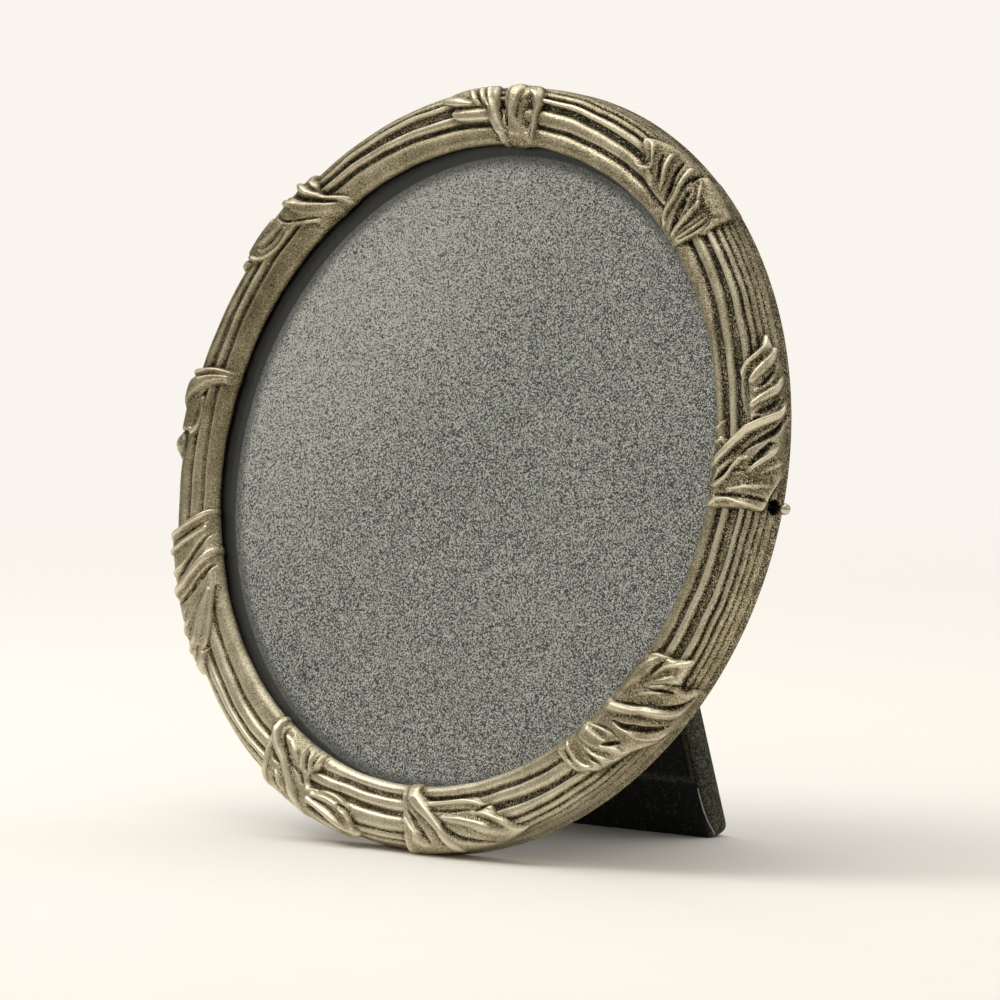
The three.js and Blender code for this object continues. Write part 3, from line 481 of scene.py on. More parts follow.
carving["lowerLeft"] = {
    "fade": 10.6,
    "bodies": [
        (1.5, (-124.4, -0.5), (-124, 1.6), (-123, 4), (-122.2, 6.6), (-121.6, 9), (-120.6, 11.4),
            (-119, 13), (-108, 13), (-103, 12), (-99.6, 11), (-98.4, 9.8), (-99.8, 8.4), (-100.8, 7.2),
            (-102, 5.6), (-104, 4.8), (-107, 4.9), (-109.6, 5.8), (-111.4, 5.4), (-111.6, 4),
            (-110.6, 3), (-109.6, 1.2), (-109.4, -0.5)),
    ],
    "strokes": [
        ("lobe", (-123.4, 0.4, 1.2, 1.9), (-122.6, 2.4, 1.2, 2.4), (-120.6, 3.9, 1, 2.7),
            (-117.9, 5.1, 0.85, 2.7), (-116, 6.6, 0.85, 2.6), (-113.8, 8.4, 0.85, 2.4),
            (-111.4, 10, 0.7, 1.9), (-109.6, 12, 0.5, 1.3)),
        ("lobe", (-122.6, 3.4, 0.6, 2.4), (-122, 6, 0.5, 2.3), (-120.9, 8.6, 0.55, 2.1),
            (-119.6, 11, 0.5, 1.6)),
        ("lobe", (-118.4, 1.6, 0.7, 1.8), (-116.8, 2.6, 1, 2), (-115.6, 3.4, 0.6, 1.8)),
        ("lobe", (-109.8, 7.2, 0.6, 1.8), (-107, 6.6, 0.9, 2), (-104.2, 6.8, 0.8, 1.9)),
        ("lobe", (-110.4, 8.2, 0.4, 1.9), (-106.4, 8.4, 0.5, 2.4), (-102.6, 9.1, 0.5, 2.3),
            (-99.4, 9.7, 0.2, 1.6)),
        ("rib", (-115.2, 0.6, 0.35, 0.3), (-114.9, 2.2, 0.4, 0.7), (-114.3, 4, 0.2, 0.4)),
        ("rib", (-113.2, 0.7, 0.35, 0.3), (-112.6, 2.4, 0.4, 0.8), (-111.8, 4, 0.2, 0.5)),
        ("rib", (-111.2, 0.6, 0.3, 0.2), (-111.2, 1.8, 0.35, 0.6), (-111.4, 3, 0.2, 0.3)),
        ("rib", (-118.6, 7.8, 0.25, 0.3), (-117, 8.6, 0.35, 0.6), (-115.4, 9.2, 0.2, 0.3)),
        ("rib", (-111.2, 6.8, 0.25, 0.3), (-108.6, 5.6, 0.35, 0.6), (-105.6, 5.1, 0.4, 0.6),
            (-103.6, 5.4, 0.35, 0.6), (-102.6, 6, 0.2, 0.3)),
        ("rib", (-103.4, 7.2, 0.3, 0.4), (-102, 7.5, 0.5, 0.8), (-100.4, 8.1, 0.25, 0.4)),
        ("cut", (-121.3, 4.9, 0.5, 0.8), (-120.2, 5.6, 0.95, 1.6), (-118.9, 6, 0.5, 1)),
        ("cut", (-119.4, 0.9, 0.25, 0.5), (-121, 1, 0.35, 0.9), (-120.4, 2.1, 0.4, 1.2),
            (-118.3, 3.6, 0.35, 1.1), (-116, 5, 0.3, 0.8)),
        ("cut", (-114.2, 1.2, 0.35, 0.7), (-113.8, 2.6, 0.55, 1.2), (-113, 3.8, 0.4, 0.8)),
        ("cut", (-112, 1, 0.25, 0.5), (-112, 2, 0.3, 0.7), (-111.7, 3, 0.2, 0.4)),
        ("cut", (-110.4, 0.6, 0.4, 0.7), (-110.4, 2, 0.35, 0.8), (-110.6, 3, 0.25, 0.5)),
        ("cut", (-115.6, 4.8, 0.3, 0.5), (-113.8, 5.2, 0.6, 0.9), (-112.6, 6.2, 0.5, 0.8)),
        ("cut", (-103.8, 6.4, 0.2, 0.5), (-102.2, 6.6, 0.28, 0.9), (-100.4, 7.4, 0.2, 0.5)),
        ("cut", (-110, 9, 0.35, 0.7), (-107, 9.3, 0.55, 1.3), (-103.6, 9.9, 0.4, 0.9)),
        ("cut", (-118.6, 8.8, 0.3, 0.5), (-116.6, 9.6, 0.5, 1), (-115, 10.2, 0.3, 0.6)),
        ("cut", (-109.4, 6.6, 0.15, 0.3), (-106.6, 5.9, 0.2, 0.4), (-104, 6, 0.15, 0.3)),
        ("cut", (-109.6, 7.7, 0.15, 0.4), (-106.6, 7.6, 0.2, 0.5), (-103.8, 8.1, 0.15, 0.4)),
    ],
}
carving["left"] = {
    "fade": 11.4,
    "bodies": [
        (1.75, (-169.1, -0.5), (-168.9, 1.4), (-168.2, 4), (-167.2, 6.6), (-166.4, 9), (-165.4, 13.6),
            (-150, 13.6), (-146, 11.6), (-143, 10.4), (-141.4, 9), (-142.6, 8), (-144.4, 6.8),
            (-145.4, 5.4), (-148, 3.6), (-151, 2), (-153.8, 0.7), (-154.6, -0.5)),
    ],
    "strokes": [
        ("lobe", (-168.4, 0.6, 0.7, 2), (-167.7, 3, 0.85, 2.4), (-166.8, 6, 0.8, 2.5),
            (-166, 8.6, 0.6, 2.3), (-165.4, 11, 0.4, 1.9)),
        ("lobe", (-161, 0.2, 1.3, 2.1), (-159.8, 3, 1.15, 2.6), (-158.2, 6, 0.95, 2.8),
            (-156.9, 8.6, 0.9, 2.7), (-156.2, 11, 0.6, 2)),
        ("lobe", (-154.2, 2.6, 0.9, 2), (-152, 4.4, 1.6, 2.3), (-149.6, 6.3, 1.8, 2.3),
            (-147.2, 7.9, 1.3, 2)),
        ("rib", (-165.5, 1.4, 0.35, 0.3), (-164.8, 4, 0.4, 0.5), (-164, 7, 0.45, 0.7),
            (-163.3, 9, 0.5, 0.7), (-163.2, 11.4, 0.4, 0.4)),
        ("crest", (-160.6, 7.2, 0.3, 0.2), (-160, 9, 0.4, 0.5), (-159.6, 11, 0.3, 0.3)),
        ("rib", (-152.6, 6.4, 0.3, 0.1), (-151, 8.6, 0.45, 0.4), (-150, 10.6, 0.4, 0.4),
            (-150.6, 12.4, 0.2, 0.2)),
        ("rib", (-149.4, 7, 0.3, 0.15), (-147.6, 8.4, 0.45, 0.5), (-146.8, 10, 0.4, 0.4),
            (-147.6, 11.6, 0.2, 0.2)),
        ("rib", (-145.4, 7, 0.3, 0.2), (-143.8, 8.2, 0.45, 0.5), (-142, 9.2, 0.2, 0.2)),
        ("cut", (-166.7, 1.2, 0.3, 0.3), (-166, 4, 0.4, 0.6), (-165.1, 7, 0.35, 0.7),
            (-164.5, 9.6, 0.3, 0.5)),
        ("cut", (-164.2, 0.9, 0.35, 0.6), (-162.8, 3.2, 0.7, 1.1), (-160.9, 5.9, 0.6, 1.3),
            (-158.9, 8.6, 0.45, 1.1), (-158, 11, 0.3, 0.7)),
        ("cut", (-158.4, 1, 0.5, 0.7), (-157.2, 3.4, 0.85, 1.2), (-155.8, 6.2, 0.75, 1.3),
            (-154.6, 8.8, 0.5, 1)),
        ("cut", (-154.6, 0.8, 0.3, 0.8), (-151, 2.5, 0.4, 1.2), (-148, 4.1, 0.4, 1.2),
            (-145.9, 5.7, 0.5, 1.3), (-145.1, 7.4, 0.4, 0.8)),
        ("cut", (-152.8, 8.2, 0.3, 0.3), (-151.8, 10, 0.5, 0.8), (-152.4, 12, 0.3, 0.5)),
        ("cut", (-149.8, 8.4, 0.2, 0.4), (-148.6, 9.6, 0.4, 0.8), (-149, 11.4, 0.3, 0.5)),
        ("cut", (-146.4, 8.2, 0.25, 0.5), (-145, 9.2, 0.45, 0.9), (-144.8, 10.6, 0.3, 0.5)),
    ],
}
carving["upperLeft"] = {
    "fade": 11.4,
    "bodies": [
        (1.6, (165.9, -0.5), (166, 2), (166.2, 5), (166.8, 8), (167.8, 10.4), (168.6, 13.4), (178, 13.4),
            (178.6, 10.8), (177.8, 8.8), (178.4, 7.6), (178, 6.4), (176.8, 5.5), (174.6, 5.1),
            (172.4, 5.5), (171, 6), (169.8, 4.4), (169.1, 2.2), (168.8, -0.5)),
        (1.5, (176.4, 13.4), (177, 10.6), (178, 9), (179.4, 8.4), (180.8, 8.9), (182, 10.4),
            (182.8, 13.4)),
    ],
    "strokes": [
        ("lobe", (167.4, 0.6, 1, 1.8), (167.7, 3, 1.1, 2), (168.6, 6, 1.4, 2.2), (170.2, 8.6, 1.9, 2.4),
            (172.6, 10.8, 2, 2.4), (175, 12.4, 1.2, 2)),
        ("lobe", (177.8, 11.6, 0.8, 1.9), (179.6, 10.6, 1.3, 2.3), (181.2, 11.8, 0.9, 1.9)),
        ("rib", (166.4, 0.6, 0.3, 0.3), (166.5, 3, 0.4, 0.6), (167, 6, 0.45, 0.7),
            (167.9, 8.6, 0.5, 0.6), (168.8, 11, 0.4, 0.4)),
        ("rib", (168, 0.6, 0.15, 0.2), (168.4, 2, 0.2, 0.3), (168.9, 4, 0.2, 0.25),
            (169.5, 5.6, 0.15, 0.1)),
        ("rib", (171.6, 6.1, 0.25, 0.2), (173.6, 5.5, 0.35, 0.4), (176, 5.6, 0.4, 0.5),
            (177.7, 6.7, 0.4, 0.6), (178, 8.2, 0.3, 0.3)),
        ("cut", (167.1, 0.8, 0.15, 0.3), (167.4, 3.6, 0.18, 0.5), (168, 6.4, 0.2, 0.5),
            (168.9, 9, 0.2, 0.3)),
        ("cut", (169, 2, 0.2, 0.4), (169.9, 4.2, 0.35, 0.7), (171, 6.1, 0.45, 0.7),
            (172.2, 7.2, 0.3, 0.4)),
        ("cut", (172.6, 6.8, 0.5, 0.2), (174.6, 6.7, 0.8, 0.5), (176.6, 7.2, 0.6, 0.4),
            (176.8, 8.4, 0.3, 0.2)),
        ("cut", (178.2, 8.2, 0.2, 0.3), (177.9, 9.4, 0.25, 0.6), (177.2, 11.4, 0.25, 0.5)),
    ],
}
carving["upperLeftTop"] = {
    "fade": 10.2,
    "bodies": [
        (1.6, (125, -0.5), (126.4, 1), (128.6, 3), (130.6, 4.6), (131, 6.2), (130.8, 7.8), (131.4, 9.4),
            (133, 13.4), (148, 13.4), (151, 10.6), (150.6, 9), (149, 8), (148, 6.8), (147, 5.6),
            (145.4, 4.8), (143, 4.5), (140.6, 4.5), (138.6, 4.5), (136.8, 2.9), (135.2, 1.3),
            (133.8, -0.5)),
    ],
    "strokes": [
        ("lobe", (129.8, 0.6, 1.6, 1.8), (132, 2.6, 1.9, 2), (134.6, 5, 1.9, 2.1),
            (136.4, 7.4, 1.6, 2.1), (137.4, 9.6, 1, 2)),
        ("lobe", (136.6, 8.2, 0.6, 2.2), (138, 9.4, 0.8, 2.5), (138.8, 11, 0.7, 2.1)),
        ("rib", (126.6, 0.6, 0.45, 0.4), (128.6, 2.2, 0.6, 0.8), (130.6, 4, 0.6, 1),
            (132.2, 6, 0.65, 1.1), (133.8, 8.4, 0.8, 1.1), (135.2, 11, 0.7, 0.8)),
        ("rib", (134.6, 1.6, 0.2, 0.2), (136.4, 3.1, 0.25, 0.4), (138.2, 4.7, 0.2, 0.2)),
        ("rib", (140.4, 5.2, 0.25, 0.2), (143.4, 5, 0.35, 0.3), (146, 5.9, 0.35, 0.4),
            (147.4, 7.1, 0.35, 0.4), (148.2, 8.8, 0.25, 0.4)),
        ("rib", (140.4, 6.3, 0.25, 0.15), (143.4, 6.3, 0.35, 0.25), (145.6, 7.1, 0.3, 0.25),
            (146.6, 8.4, 0.2, 0.2)),
        ("rib", (140.4, 7.6, 0.35, 0.3), (143, 7.9, 0.5, 0.5), (145.6, 8.7, 0.4, 0.4),
            (147, 10, 0.2, 0.2)),
        ("lobe", (142, 9.8, 1, 2), (145, 10.2, 1.2, 2.1), (148, 10.4, 0.8, 2)),
        ("rib", (131.4, 6.6, 0.25, 0.3), (131.8, 7.8, 0.45, 0.6), (132.6, 9.2, 0.25, 0.3)),
        ("cut", (129, 1.6, 0.3, 0.3), (131.2, 3.4, 0.45, 0.5), (133, 5.4, 0.4, 0.6),
            (134.8, 7.6, 0.4, 0.8), (136.2, 9.8, 0.4, 1)),
        ("cut", (133.6, 1.6, 0.2, 0.4), (135.9, 3.7, 0.3, 0.8), (138, 5.6, 0.35, 0.8),
            (139.6, 7.4, 0.35, 0.7), (140.4, 9.6, 0.4, 0.9)),
        ("cut", (140.8, 5.8, 0.15, 0.2), (144, 5.7, 0.22, 0.35), (146.4, 7, 0.15, 0.2)),
        ("cut", (140.8, 7, 0.2, 0.3), (144, 7.1, 0.25, 0.4), (146, 8.1, 0.2, 0.3)),
        ("cut", (148.6, 8.4, 0.3, 0.4), (149.2, 9.6, 0.45, 0.8), (149, 11, 0.3, 0.5)),
    ],
}

wrapMesh = {
    "cell": 0.13,  # grid, mm
    "sunk": 0.45,  # where nothing is carved the patch lies this far under the reeds
    "soften": 0.75,  # cells
    "margin": 1.0,  # mm past the outline
    "edge": 1.0,  # mm over which a body rounds off
    "edgePower": 0.7,  # 0.5 is a quarter circle, 1 a parabola
    "weld": 0.3,  # lobes flow into the body over this height
    "floor": 0.2,  # no cut goes deeper
    "wallFade": 0.75,  # wraps sink by this share down the wall
    "fadeRun": 3.4,
    "lipFade": 0.4,  # and by this share over the lip
    "lipRun": 1.8,
    "outlineSpan": 5,  # points from knot to knot
    "strokeSpan": 7,
    "bodyReach": 0.8,  # grid looked at past the knots, mm
    "strokeReach": 0.3,
    "widthReach": 1.3,  # half widths of a stroke
    "underRows": 9,
    "underDrop": 0.1,
}


# Nearest spot on a line: distance and place along it, taking its segments in turn
def nearLine(point, line):
    best = np.full(len(point), np.inf)
    at = np.zeros(len(point))
    for k, (first, last) in enumerate(zip(line[:-1], line[1:])):
        step = last - first
        off = point - first
        t = np.clip(off @ step / (step @ step), 0, 1)
        gap = np.hypot(*(off - t[:, None] * step).T)
        closer = gap < best
        best = np.where(closer, gap, best)
        at = np.where(closer, k + t, at)
    return best, at


# Whether points lie inside a closed line, by counting the crossings to one side
def insideLine(point, line):
    count = np.zeros(len(point), int)
    for first, last in zip(line[:-1], line[1:]):
        spans = (first[1] > point[:, 1]) != (last[1] > point[:, 1])
        rise = last[1] - first[1]
        cross = first[0] + (point[:, 1] - first[1]) / (rise if rise else 1) * (last[0] - first[0])
        count += spans & (point[:, 0] < cross)
    return count % 2 == 1


# Body: full height inside its outline, rounding off to nothing at the edge
def bodyRelief(point, height, outline):
    line = smoothPath(outline + outline[:1], wrapMesh["outlineSpan"]) * [degreeMm, 1]
    inward = np.where(insideLine(point, line), nearLine(point, line)[0], 0)
    q = 1 - np.clip(inward / wrapMesh["edge"], 0, 1)
    return np.where(inward > 0, height * (1 - q * q) ** wrapMesh["edgePower"], -wrapMesh["sunk"])


# Stroke: its section stands on the distance to the spine over the half width
def strokeRelief(point, section, knots):
    path = smoothPath(knots, wrapMesh["strokeSpan"])
    gap, at = nearLine(point, path[:, :2] * [degreeMm, 1])
    half, height = (np.interp(at, np.arange(len(path)), path[:, column]) for column in (2, 3))
    q = np.clip(gap / half, 0, 1)
    shape = {
        "lobe": 1 - q ** 4,
        "rib": 1 - q * q,
        "crest": 1 - q ** 1.3,
        "cut": (1 - q * q) ** 1.5,
    }
    return height * shape[section], q < 1


# Larger of two heights, flowing together where they are close
def weld(first, second):
    near = np.clip(1 - np.abs(first - second) / wrapMesh["weld"], 0, 1)
    return np.maximum(first, second) + wrapMesh["weld"] / 4 * near * near


# Height of one wrap over a grid of angles and girths: bodies first, then the strokes in their order
def wrapRelief(turn, across, wrap):
    relief = np.full(turn.shape, -wrapMesh["sunk"])

    def reached(knots, reach):  # the grid near some knots, and its places in millimetres
        places = np.array(knots)[:, :2]
        low, high = places.min(0), places.max(0)
        near = (turn > low[0] - reach / degreeMm) & (turn < high[0] + reach / degreeMm)
        near &= (across > low[1] - reach) & (across < high[1] + reach)
        return near, np.stack([turn[near] * degreeMm, across[near]], -1)

    for height, *outline in wrap["bodies"]:
        inside, point = reached(outline, wrapMesh["bodyReach"])
        relief[inside] = np.maximum(relief[inside], bodyRelief(point, height, outline))
    for section, *knots in wrap["strokes"]:
        widest = max(half for _, _, half, _ in knots)
        inside, point = reached(knots, widest * wrapMesh["widthReach"] + wrapMesh["strokeReach"])
        height, held = strokeRelief(point, section, knots)
        old = relief[inside]
        carved = held & (old > wrapMesh["floor"])
        if section == "lobe":
            relief[inside] = np.where(held, weld(old, height), old)
        elif section == "cut":
            relief[inside] = np.where(carved, np.maximum(old - height, wrapMesh["floor"]), old)
        else:
            relief[inside] = np.where(carved, old + height, old)
    wall = easeStep((across - wrap["fade"]) / wrapMesh["fadeRun"])
    lip = easeStep(1 - across / wrapMesh["lipRun"])
    share = 1 - wrapMesh["wallFade"] * wall - wrapMesh["lipFade"] * lip
    return np.where(relief > 0, relief * share, relief)


# Wear, from -1 in a hollow to 1 on a ridge, and what it is where nothing rubs; the pin hole's far lower value
# is painted black shade
wearing = {
    "full": 0.4,  # mm above or below the surroundings
    "reach": 0.75,  # mm of surroundings
    "aroundReach": 1.2,  # steps round the ring
    "wall": -0.15,  # darker on the wall's foot
    # painted black shade inside the pin hole
    "pit": -3.0,
    "pitFrom": 0.3,
    "inside": -0.35,
    "under": -1.0,
}


# How much a spot stands proud of its surroundings
def wearOf(relief, reachU, reachV, wrap=False):
    around = blur(blur(relief, reachU, 0, wrap), reachV, 1)
    return np.clip((relief - around) / wearing["full"], -1, 1)


# Node wiring: a socket that can be summed and multiplied, and one method for every other node
class Wire:
    def __init__(self, tree, socket=None):
        self.tree = tree
        self.socket = socket

    def feed(self, sockets, values):  # links wires, and sets plain values
        for key, value in values.items():
            if isinstance(value, Wire):
                self.tree.links.new(value.socket, sockets[key])
            else:
                sockets[key].default_value = value

    # Any node: its settings first, then the values or links of its sockets
    def node(self, kind, settings=None, inputs=None, output=0):
        made = self.tree.nodes.new("ShaderNode" + kind)
        for key, value in (settings or {}).items():
            if key == "stops":
                ramp = made.color_ramp.elements
                while len(ramp) < len(value):
                    ramp.new(1)
                for stop, (position, colour) in zip(ramp, value):
                    stop.position = position
                    stop.color = (*colour, 1)
            else:
                setattr(made, key, value)
        self.feed(made.inputs, inputs or {})
        return Wire(self.tree, made.outputs[output])

    def math(self, operation, first, second):
        return self.node("Math", {"operation": operation}, {0: first, 1: second})

    def __add__(self, other):
        return self.math("ADD", self, other)

    def __sub__(self, other):
        return self.math("SUBTRACT", self, other)

    def __rsub__(self, other):
        return self.math("SUBTRACT", other, self)

    def __mul__(self, other):
        return self.math("MULTIPLY", self, other)

    def __truediv__(self, other):
        return self.math("DIVIDE", self, other)

    def __pow__(self, other):
        return self.math("POWER", self, other)

    __radd__ = __add__
    __rmul__ = __mul__

    def clip(self, low, high):  # smooth step from 0 at the low value to 1 at the high one
        return self.node("MapRange", {"interpolation_type": "SMOOTHSTEP"}, {0: self, 1: low, 2: high})


# A new material's wiring, with the built-in shader kept
def newFinish(name):
    material = bpy.data.materials.new(name)
    material.use_nodes = True
    shader = material.node_tree.nodes["Principled BSDF"]
    return material, Wire(material.node_tree), shader


# Noise in the piece's own place, with lumps per metre
def noise(wire, scale, detail, vector=None):
    place = vector or wire.node("TexCoord", output="Object")
    return wire.node("TexNoise", None, {"Vector": place, "Scale": scale, "Detail": detail})


# Colour between two, which may be wires
def blend(wire, amount, first, second):
    first, second = (end if isinstance(end, Wire) else (*end, 1) for end in (first, second))
    return wire.node("Mix", {"data_type": "RGBA"}, {0: amount, 6: first, 7: second}, 2)


# Bumps from a height, times a distance in metres
def bump(wire, height, distance, strength):
    return wire.node("Bump", None, {"Height": height, "Distance": distance, "Strength": strength})


# Another shader laid over a finish's own by an amount
def layOver(wire, shader, amount, other):
    own = Wire(wire.tree, shader.outputs[0])
    mixed = wire.node("MixShader", None, {0: amount, 1: own, 2: other})
    wire.feed(wire.tree.nodes["Material Output"].inputs, {"Surface": mixed})


# Place on the ring's face: metres to the right of its middle and up the face
def faceSpot(wire):
    place = wire.node("TexCoord", output="Object")
    x, z = (wire.node("SeparateXYZ", None, {0: place}, axis) for axis in "XZ")
    return x, (z - rimDrop * mm) / math.cos(lean)


# Share that grows across the face along (right, up), from nothing at one distance to full at another
def drift(spot, way, start, full):
    x, up = spot
    return (x * way[0] + up * way[1]).clip(start, full)


# Antiqued pewter: brown and gritty in the hollows, olive grey on the flanks, rubbed bright on the ridges.
# The tone is wear, and an even level that painted light lifts at the lower left, that drops to the right and
# up, and that painted shade lowers at the left and the upper right; then grit and blotches
def pewterFinish():
    look = {
        "grit": 2500,  # per metre
        "grain": 4600,
        "blotch": 240,
        "tones": [
            (0, (0.006, 0.0045, 0.002)),  # painted black shade in the pin hole; the darkest hollows reach it too
            (0.16, (0.073, 0.0565, 0.025)),  # hollows
            (0.38, (0.215, 0.179, 0.1)),  # flanks
            (0.6, (0.4, 0.35, 0.229)),
            (0.95, (0.75, 0.683, 0.52)),  # ridges
        ],
        "rightward": ((0.9, 0.45), 0.02, 0.06),  # darker, grittier and with more contrast to the right and up, in metres from the middle
        "litLowerLeft": ((-0.5, -0.85), 0.0, 0.06),  # painted light: lighter to the left and down, where the faces turn up to the overhead light
        "shadedLeft": ((-1.0, 0.3), 0.045, 0.066),  # painted shade at the left, which turns from the light: the level drops there, while hollows stay lighter and less gritty
        "dull": ((0.5, 0.87), 0.063, 0.0705),  # rougher at the upper right, with painted shade there that tones down the overhead lamp's highlight
        "hollow": (-0.9, 0.5),  # wear at the bottom of a hollow and at its brink
        "patch": (0.38, 0.66),  # blotches between which the grit thickens
        "even": 0.46,
        "gritShare": 1.6,
        "grainShare": 3.2,
        "blotchShare": 0.4,
        "roughness": 0.38,
        "bumpHeight": 0.0002,
        "bumpStrength": 0.6,
    }
    material, wire, shader = newFinish("antiqued pewter")
    wear = wire.node("Attribute", {"attribute_name": "wear"}, output="Fac")
    grit = noise(wire, look["grit"], 2)
    grain = noise(wire, look["grain"], 1)
    blotch = noise(wire, look["blotch"], 3)
    spot = faceSpot(wire)
    rightward, litLowerLeft, shadedLeft, dull = (drift(spot, *look[share]) for share in ("rightward", "litLowerLeft", "shadedLeft", "dull"))
    hollow = 1 - wear.clip(*look["hollow"])
    patch = blotch.clip(*look["patch"])
    rough = (grit - 0.5) * look["gritShare"] + (grain - 0.5) * look["grainShare"]
    rough = rough * (0.75 + rightward * 0.35)
    # painted light lifts the lower left; painted shade lowers the left and the upper right
    even = look["even"] + litLowerLeft * 0.2 - rightward * 0.04 - shadedLeft * (0.13 - hollow * 0.16) - dull * 0.08
    gritty = 0.38 + hollow * (0.34 + patch * 0.5) * (1 - shadedLeft * 0.6)
    level = wear * (0.44 + rightward * 0.12) + even + rough * gritty + (blotch - 0.5) * look["blotchShare"]
    lumps = (grit + grain) * (0.12 + hollow * 0.9) + blotch * 0.8
    wire.feed(shader.inputs, {
        "Base Color": wire.node("ValToRGB", {"stops": look["tones"]}, {0: level}),
        "Metallic": 1 - hollow * 0.35,
        "Roughness": look["roughness"] + hollow * 0.25 + (blotch - 0.5) * 0.12 + dull * 0.16,
        "Normal": bump(wire, lumps, look["bumpHeight"], look["bumpStrength"]),
    })
    return material


# Clear pane: glass to the eye, and open to lamps
def glassFinish():
    look = {
        "Base Color": (0.97, 0.985, 0.98, 1),
        "Roughness": 0.02,
        "Transmission Weight": 1.0,
        "IOR": 1.46,
    }
    material, wire, shader = newFinish("clear glass")
    wire.feed(shader.inputs, look)
    lamp = wire.node("LightPath", output="Is Shadow Ray")
    layOver(wire, shader, lamp, wire.node("BsdfTransparent"))
    return material


# Insert: a dull print with a fine salt-and-pepper fleck, painted light paler up and to the left, a painted
# reflection of the lip as a dark band, and black painted shade under the lip
def insertFinish():
    look = {
        "fleck": 4400,
        "fine": 5400,
        "cloud": 22,
        "fleckShare": 2.8,
        "fineShare": 2.6,
        "cloudShare": 0.5,
        "even": 0.4,
        "pale": ((-1, 1), 0.0, 0.085),  # painted light: paler up and to the left, where the light comes from
        "paintedLightLift": 0.62,
        "tones": [
            (0.1, (0.008, 0.009, 0.008)),
            (0.48, (0.155, 0.152, 0.133)),
            (0.95, (0.66, 0.65, 0.58)),
        ],
        "band": (0.05, 0.052, 0.047),  # painted reflection of the lip in the glass, with its shade: a plain dark band
        "lipReflectionRun": (0.0562, 0.0584),
        "lipReflectionShare": 0.75,
        "shade": (0.002, 0.003, 0.002),
        "shadeRun": (0.0587, 0.0592),
        "shadeShift": 0.0022,  # the shade is wider at the left
    }
    material, wire, shader = newFinish("speckled print")
    place = wire.node("TexCoord", output="Object")
    grains = wire.node("TexVoronoi", None, {"Vector": place, "Scale": look["fine"]}, "Color")
    fine = wire.node("SeparateColor", None, {0: grains}, "Red")
    fleck = noise(wire, look["fleck"], 0)
    cloud = noise(wire, look["cloud"], 2)
    x, up = faceSpot(wire)
    level = (fleck - 0.5) * look["fleckShare"] + (fine - 0.5) * look["fineShare"]
    level = level + (cloud - 0.5) * look["cloudShare"] + look["even"]
    # painted light: paler up and to the left
    level = level + drift((x, up), *look["pale"]) * look["paintedLightLift"]
    colour = wire.node("ValToRGB", {"stops": look["tones"]}, {0: level})
    left = x - look["shadeShift"]
    rim = (left * left + up * up) ** 0.5
    # painted reflection of the lip: a dark band inside the rim, wider at the left
    withLipReflection = blend(wire, rim.clip(*look["lipReflectionRun"]) * look["lipReflectionShare"], colour, look["band"])
    shaded = blend(wire, rim.clip(*look["shadeRun"]), withLipReflection, look["shade"])
    wire.feed(shader.inputs, {"Base Color": shaded, "Roughness": 0.7})
    return material


# Velvet: nearly black green pile that pales where it is brushed, paler along the hem's fold, with painted
# light on the leg's sides
def velvetFinish():
    look = {
        "pile": 2600,
        "nap": 1000,
        "dark": (0.0001, 0.0003, 0.0002),
        "pale": (0.045, 0.068, 0.052),
        # painted light on the leg's sides, also the paler hem fold
        "spread": (0.11, 0.112, 0.072),
        "bumpHeight": 0.0003,
        "bumpStrength": 0.9,
    }
    material, wire, shader = newFinish("dark velvet")
    pile = noise(wire, look["pile"], 2)
    nap = noise(wire, look["nap"], 3)
    brushed = ((pile - 0.5) * 7.0 + (nap - 0.5) * 5.0 - 0.8).clip(0.0, 1.0)
    tufts = ((pile - 0.5) * 4.0 + (nap - 0.5) * 1.4 + 0.42).clip(-0.3, 1.3)
    litSideAndFoldShare = wire.node("Attribute", {"attribute_name": "spread"}, output="Fac") * tufts
    colour = blend(wire, brushed, look["dark"], look["pale"])
    wire.feed(shader.inputs, {
        "Base Color": blend(wire, litSideAndFoldShare, colour, look["spread"]),
        "Roughness": 0.92,
        "Sheen Weight": 0.02,
        "Sheen Roughness": 0.4,
        "Sheen Tint": (0.55, 0.65, 0.58, 1),
        "Normal": bump(wire, pile + nap * 0.5, look["bumpHeight"], look["bumpStrength"]),
    })
    return material


# Small metal fittings: a tint with fine scratches and duller patches
def fittingFinish(name, dull, bright, roughness):
    look = {
        "patch": 420,
        "scratch": (900, 5200, 5200),
        "tintRun": (0.25, 0.75),
        "bumpHeight": 0.00003,
        "bumpStrength": 0.3,
    }
    material, wire, shader = newFinish(name)
    patch = noise(wire, look["patch"], 3)
    place = wire.node("TexCoord", output="Object")
    scratch = noise(wire, 1, 2, wire.node("Mapping", None, {0: place, 3: look["scratch"]}))
    tint = (patch * 0.8 + scratch * 0.4 - 0.1).clip(*look["tintRun"])
    wire.feed(shader.inputs, {
        "Base Color": blend(wire, tint, dull, bright),
        "Metallic": 1.0,
        "Roughness": roughness + (patch - 0.5) * 0.2,
        "Normal": bump(wire, scratch, look["bumpHeight"], look["bumpStrength"]),
    })
    return material


# Pulp board, or the pale cloth of the painted edge highlights: soft blotches and flecks
def boardFinish(name, dull, pale):
    look = {"pulp": 900, "fleck": 3000, "tintRun": (0.3, 0.7), "bumpHeight": 0.0001, "bumpStrength": 0.4}
    material, wire, shader = newFinish(name)
    pulp = noise(wire, look["pulp"], 4)
    fleck = noise(wire, look["fleck"], 1)
    wire.feed(shader.inputs, {
        "Base Color": blend(wire, (pulp * 0.7 + fleck * 0.3).clip(*look["tintRun"]), dull, pale),
        "Roughness": 0.9,
        "Normal": bump(wire, pulp, look["bumpHeight"], look["bumpStrength"]),
    })
    return material


pewter = pewterFinish()
velvet = velvetFinish()
board = boardFinish("pulp board", (0.17, 0.13, 0.085), (0.34, 0.27, 0.18))
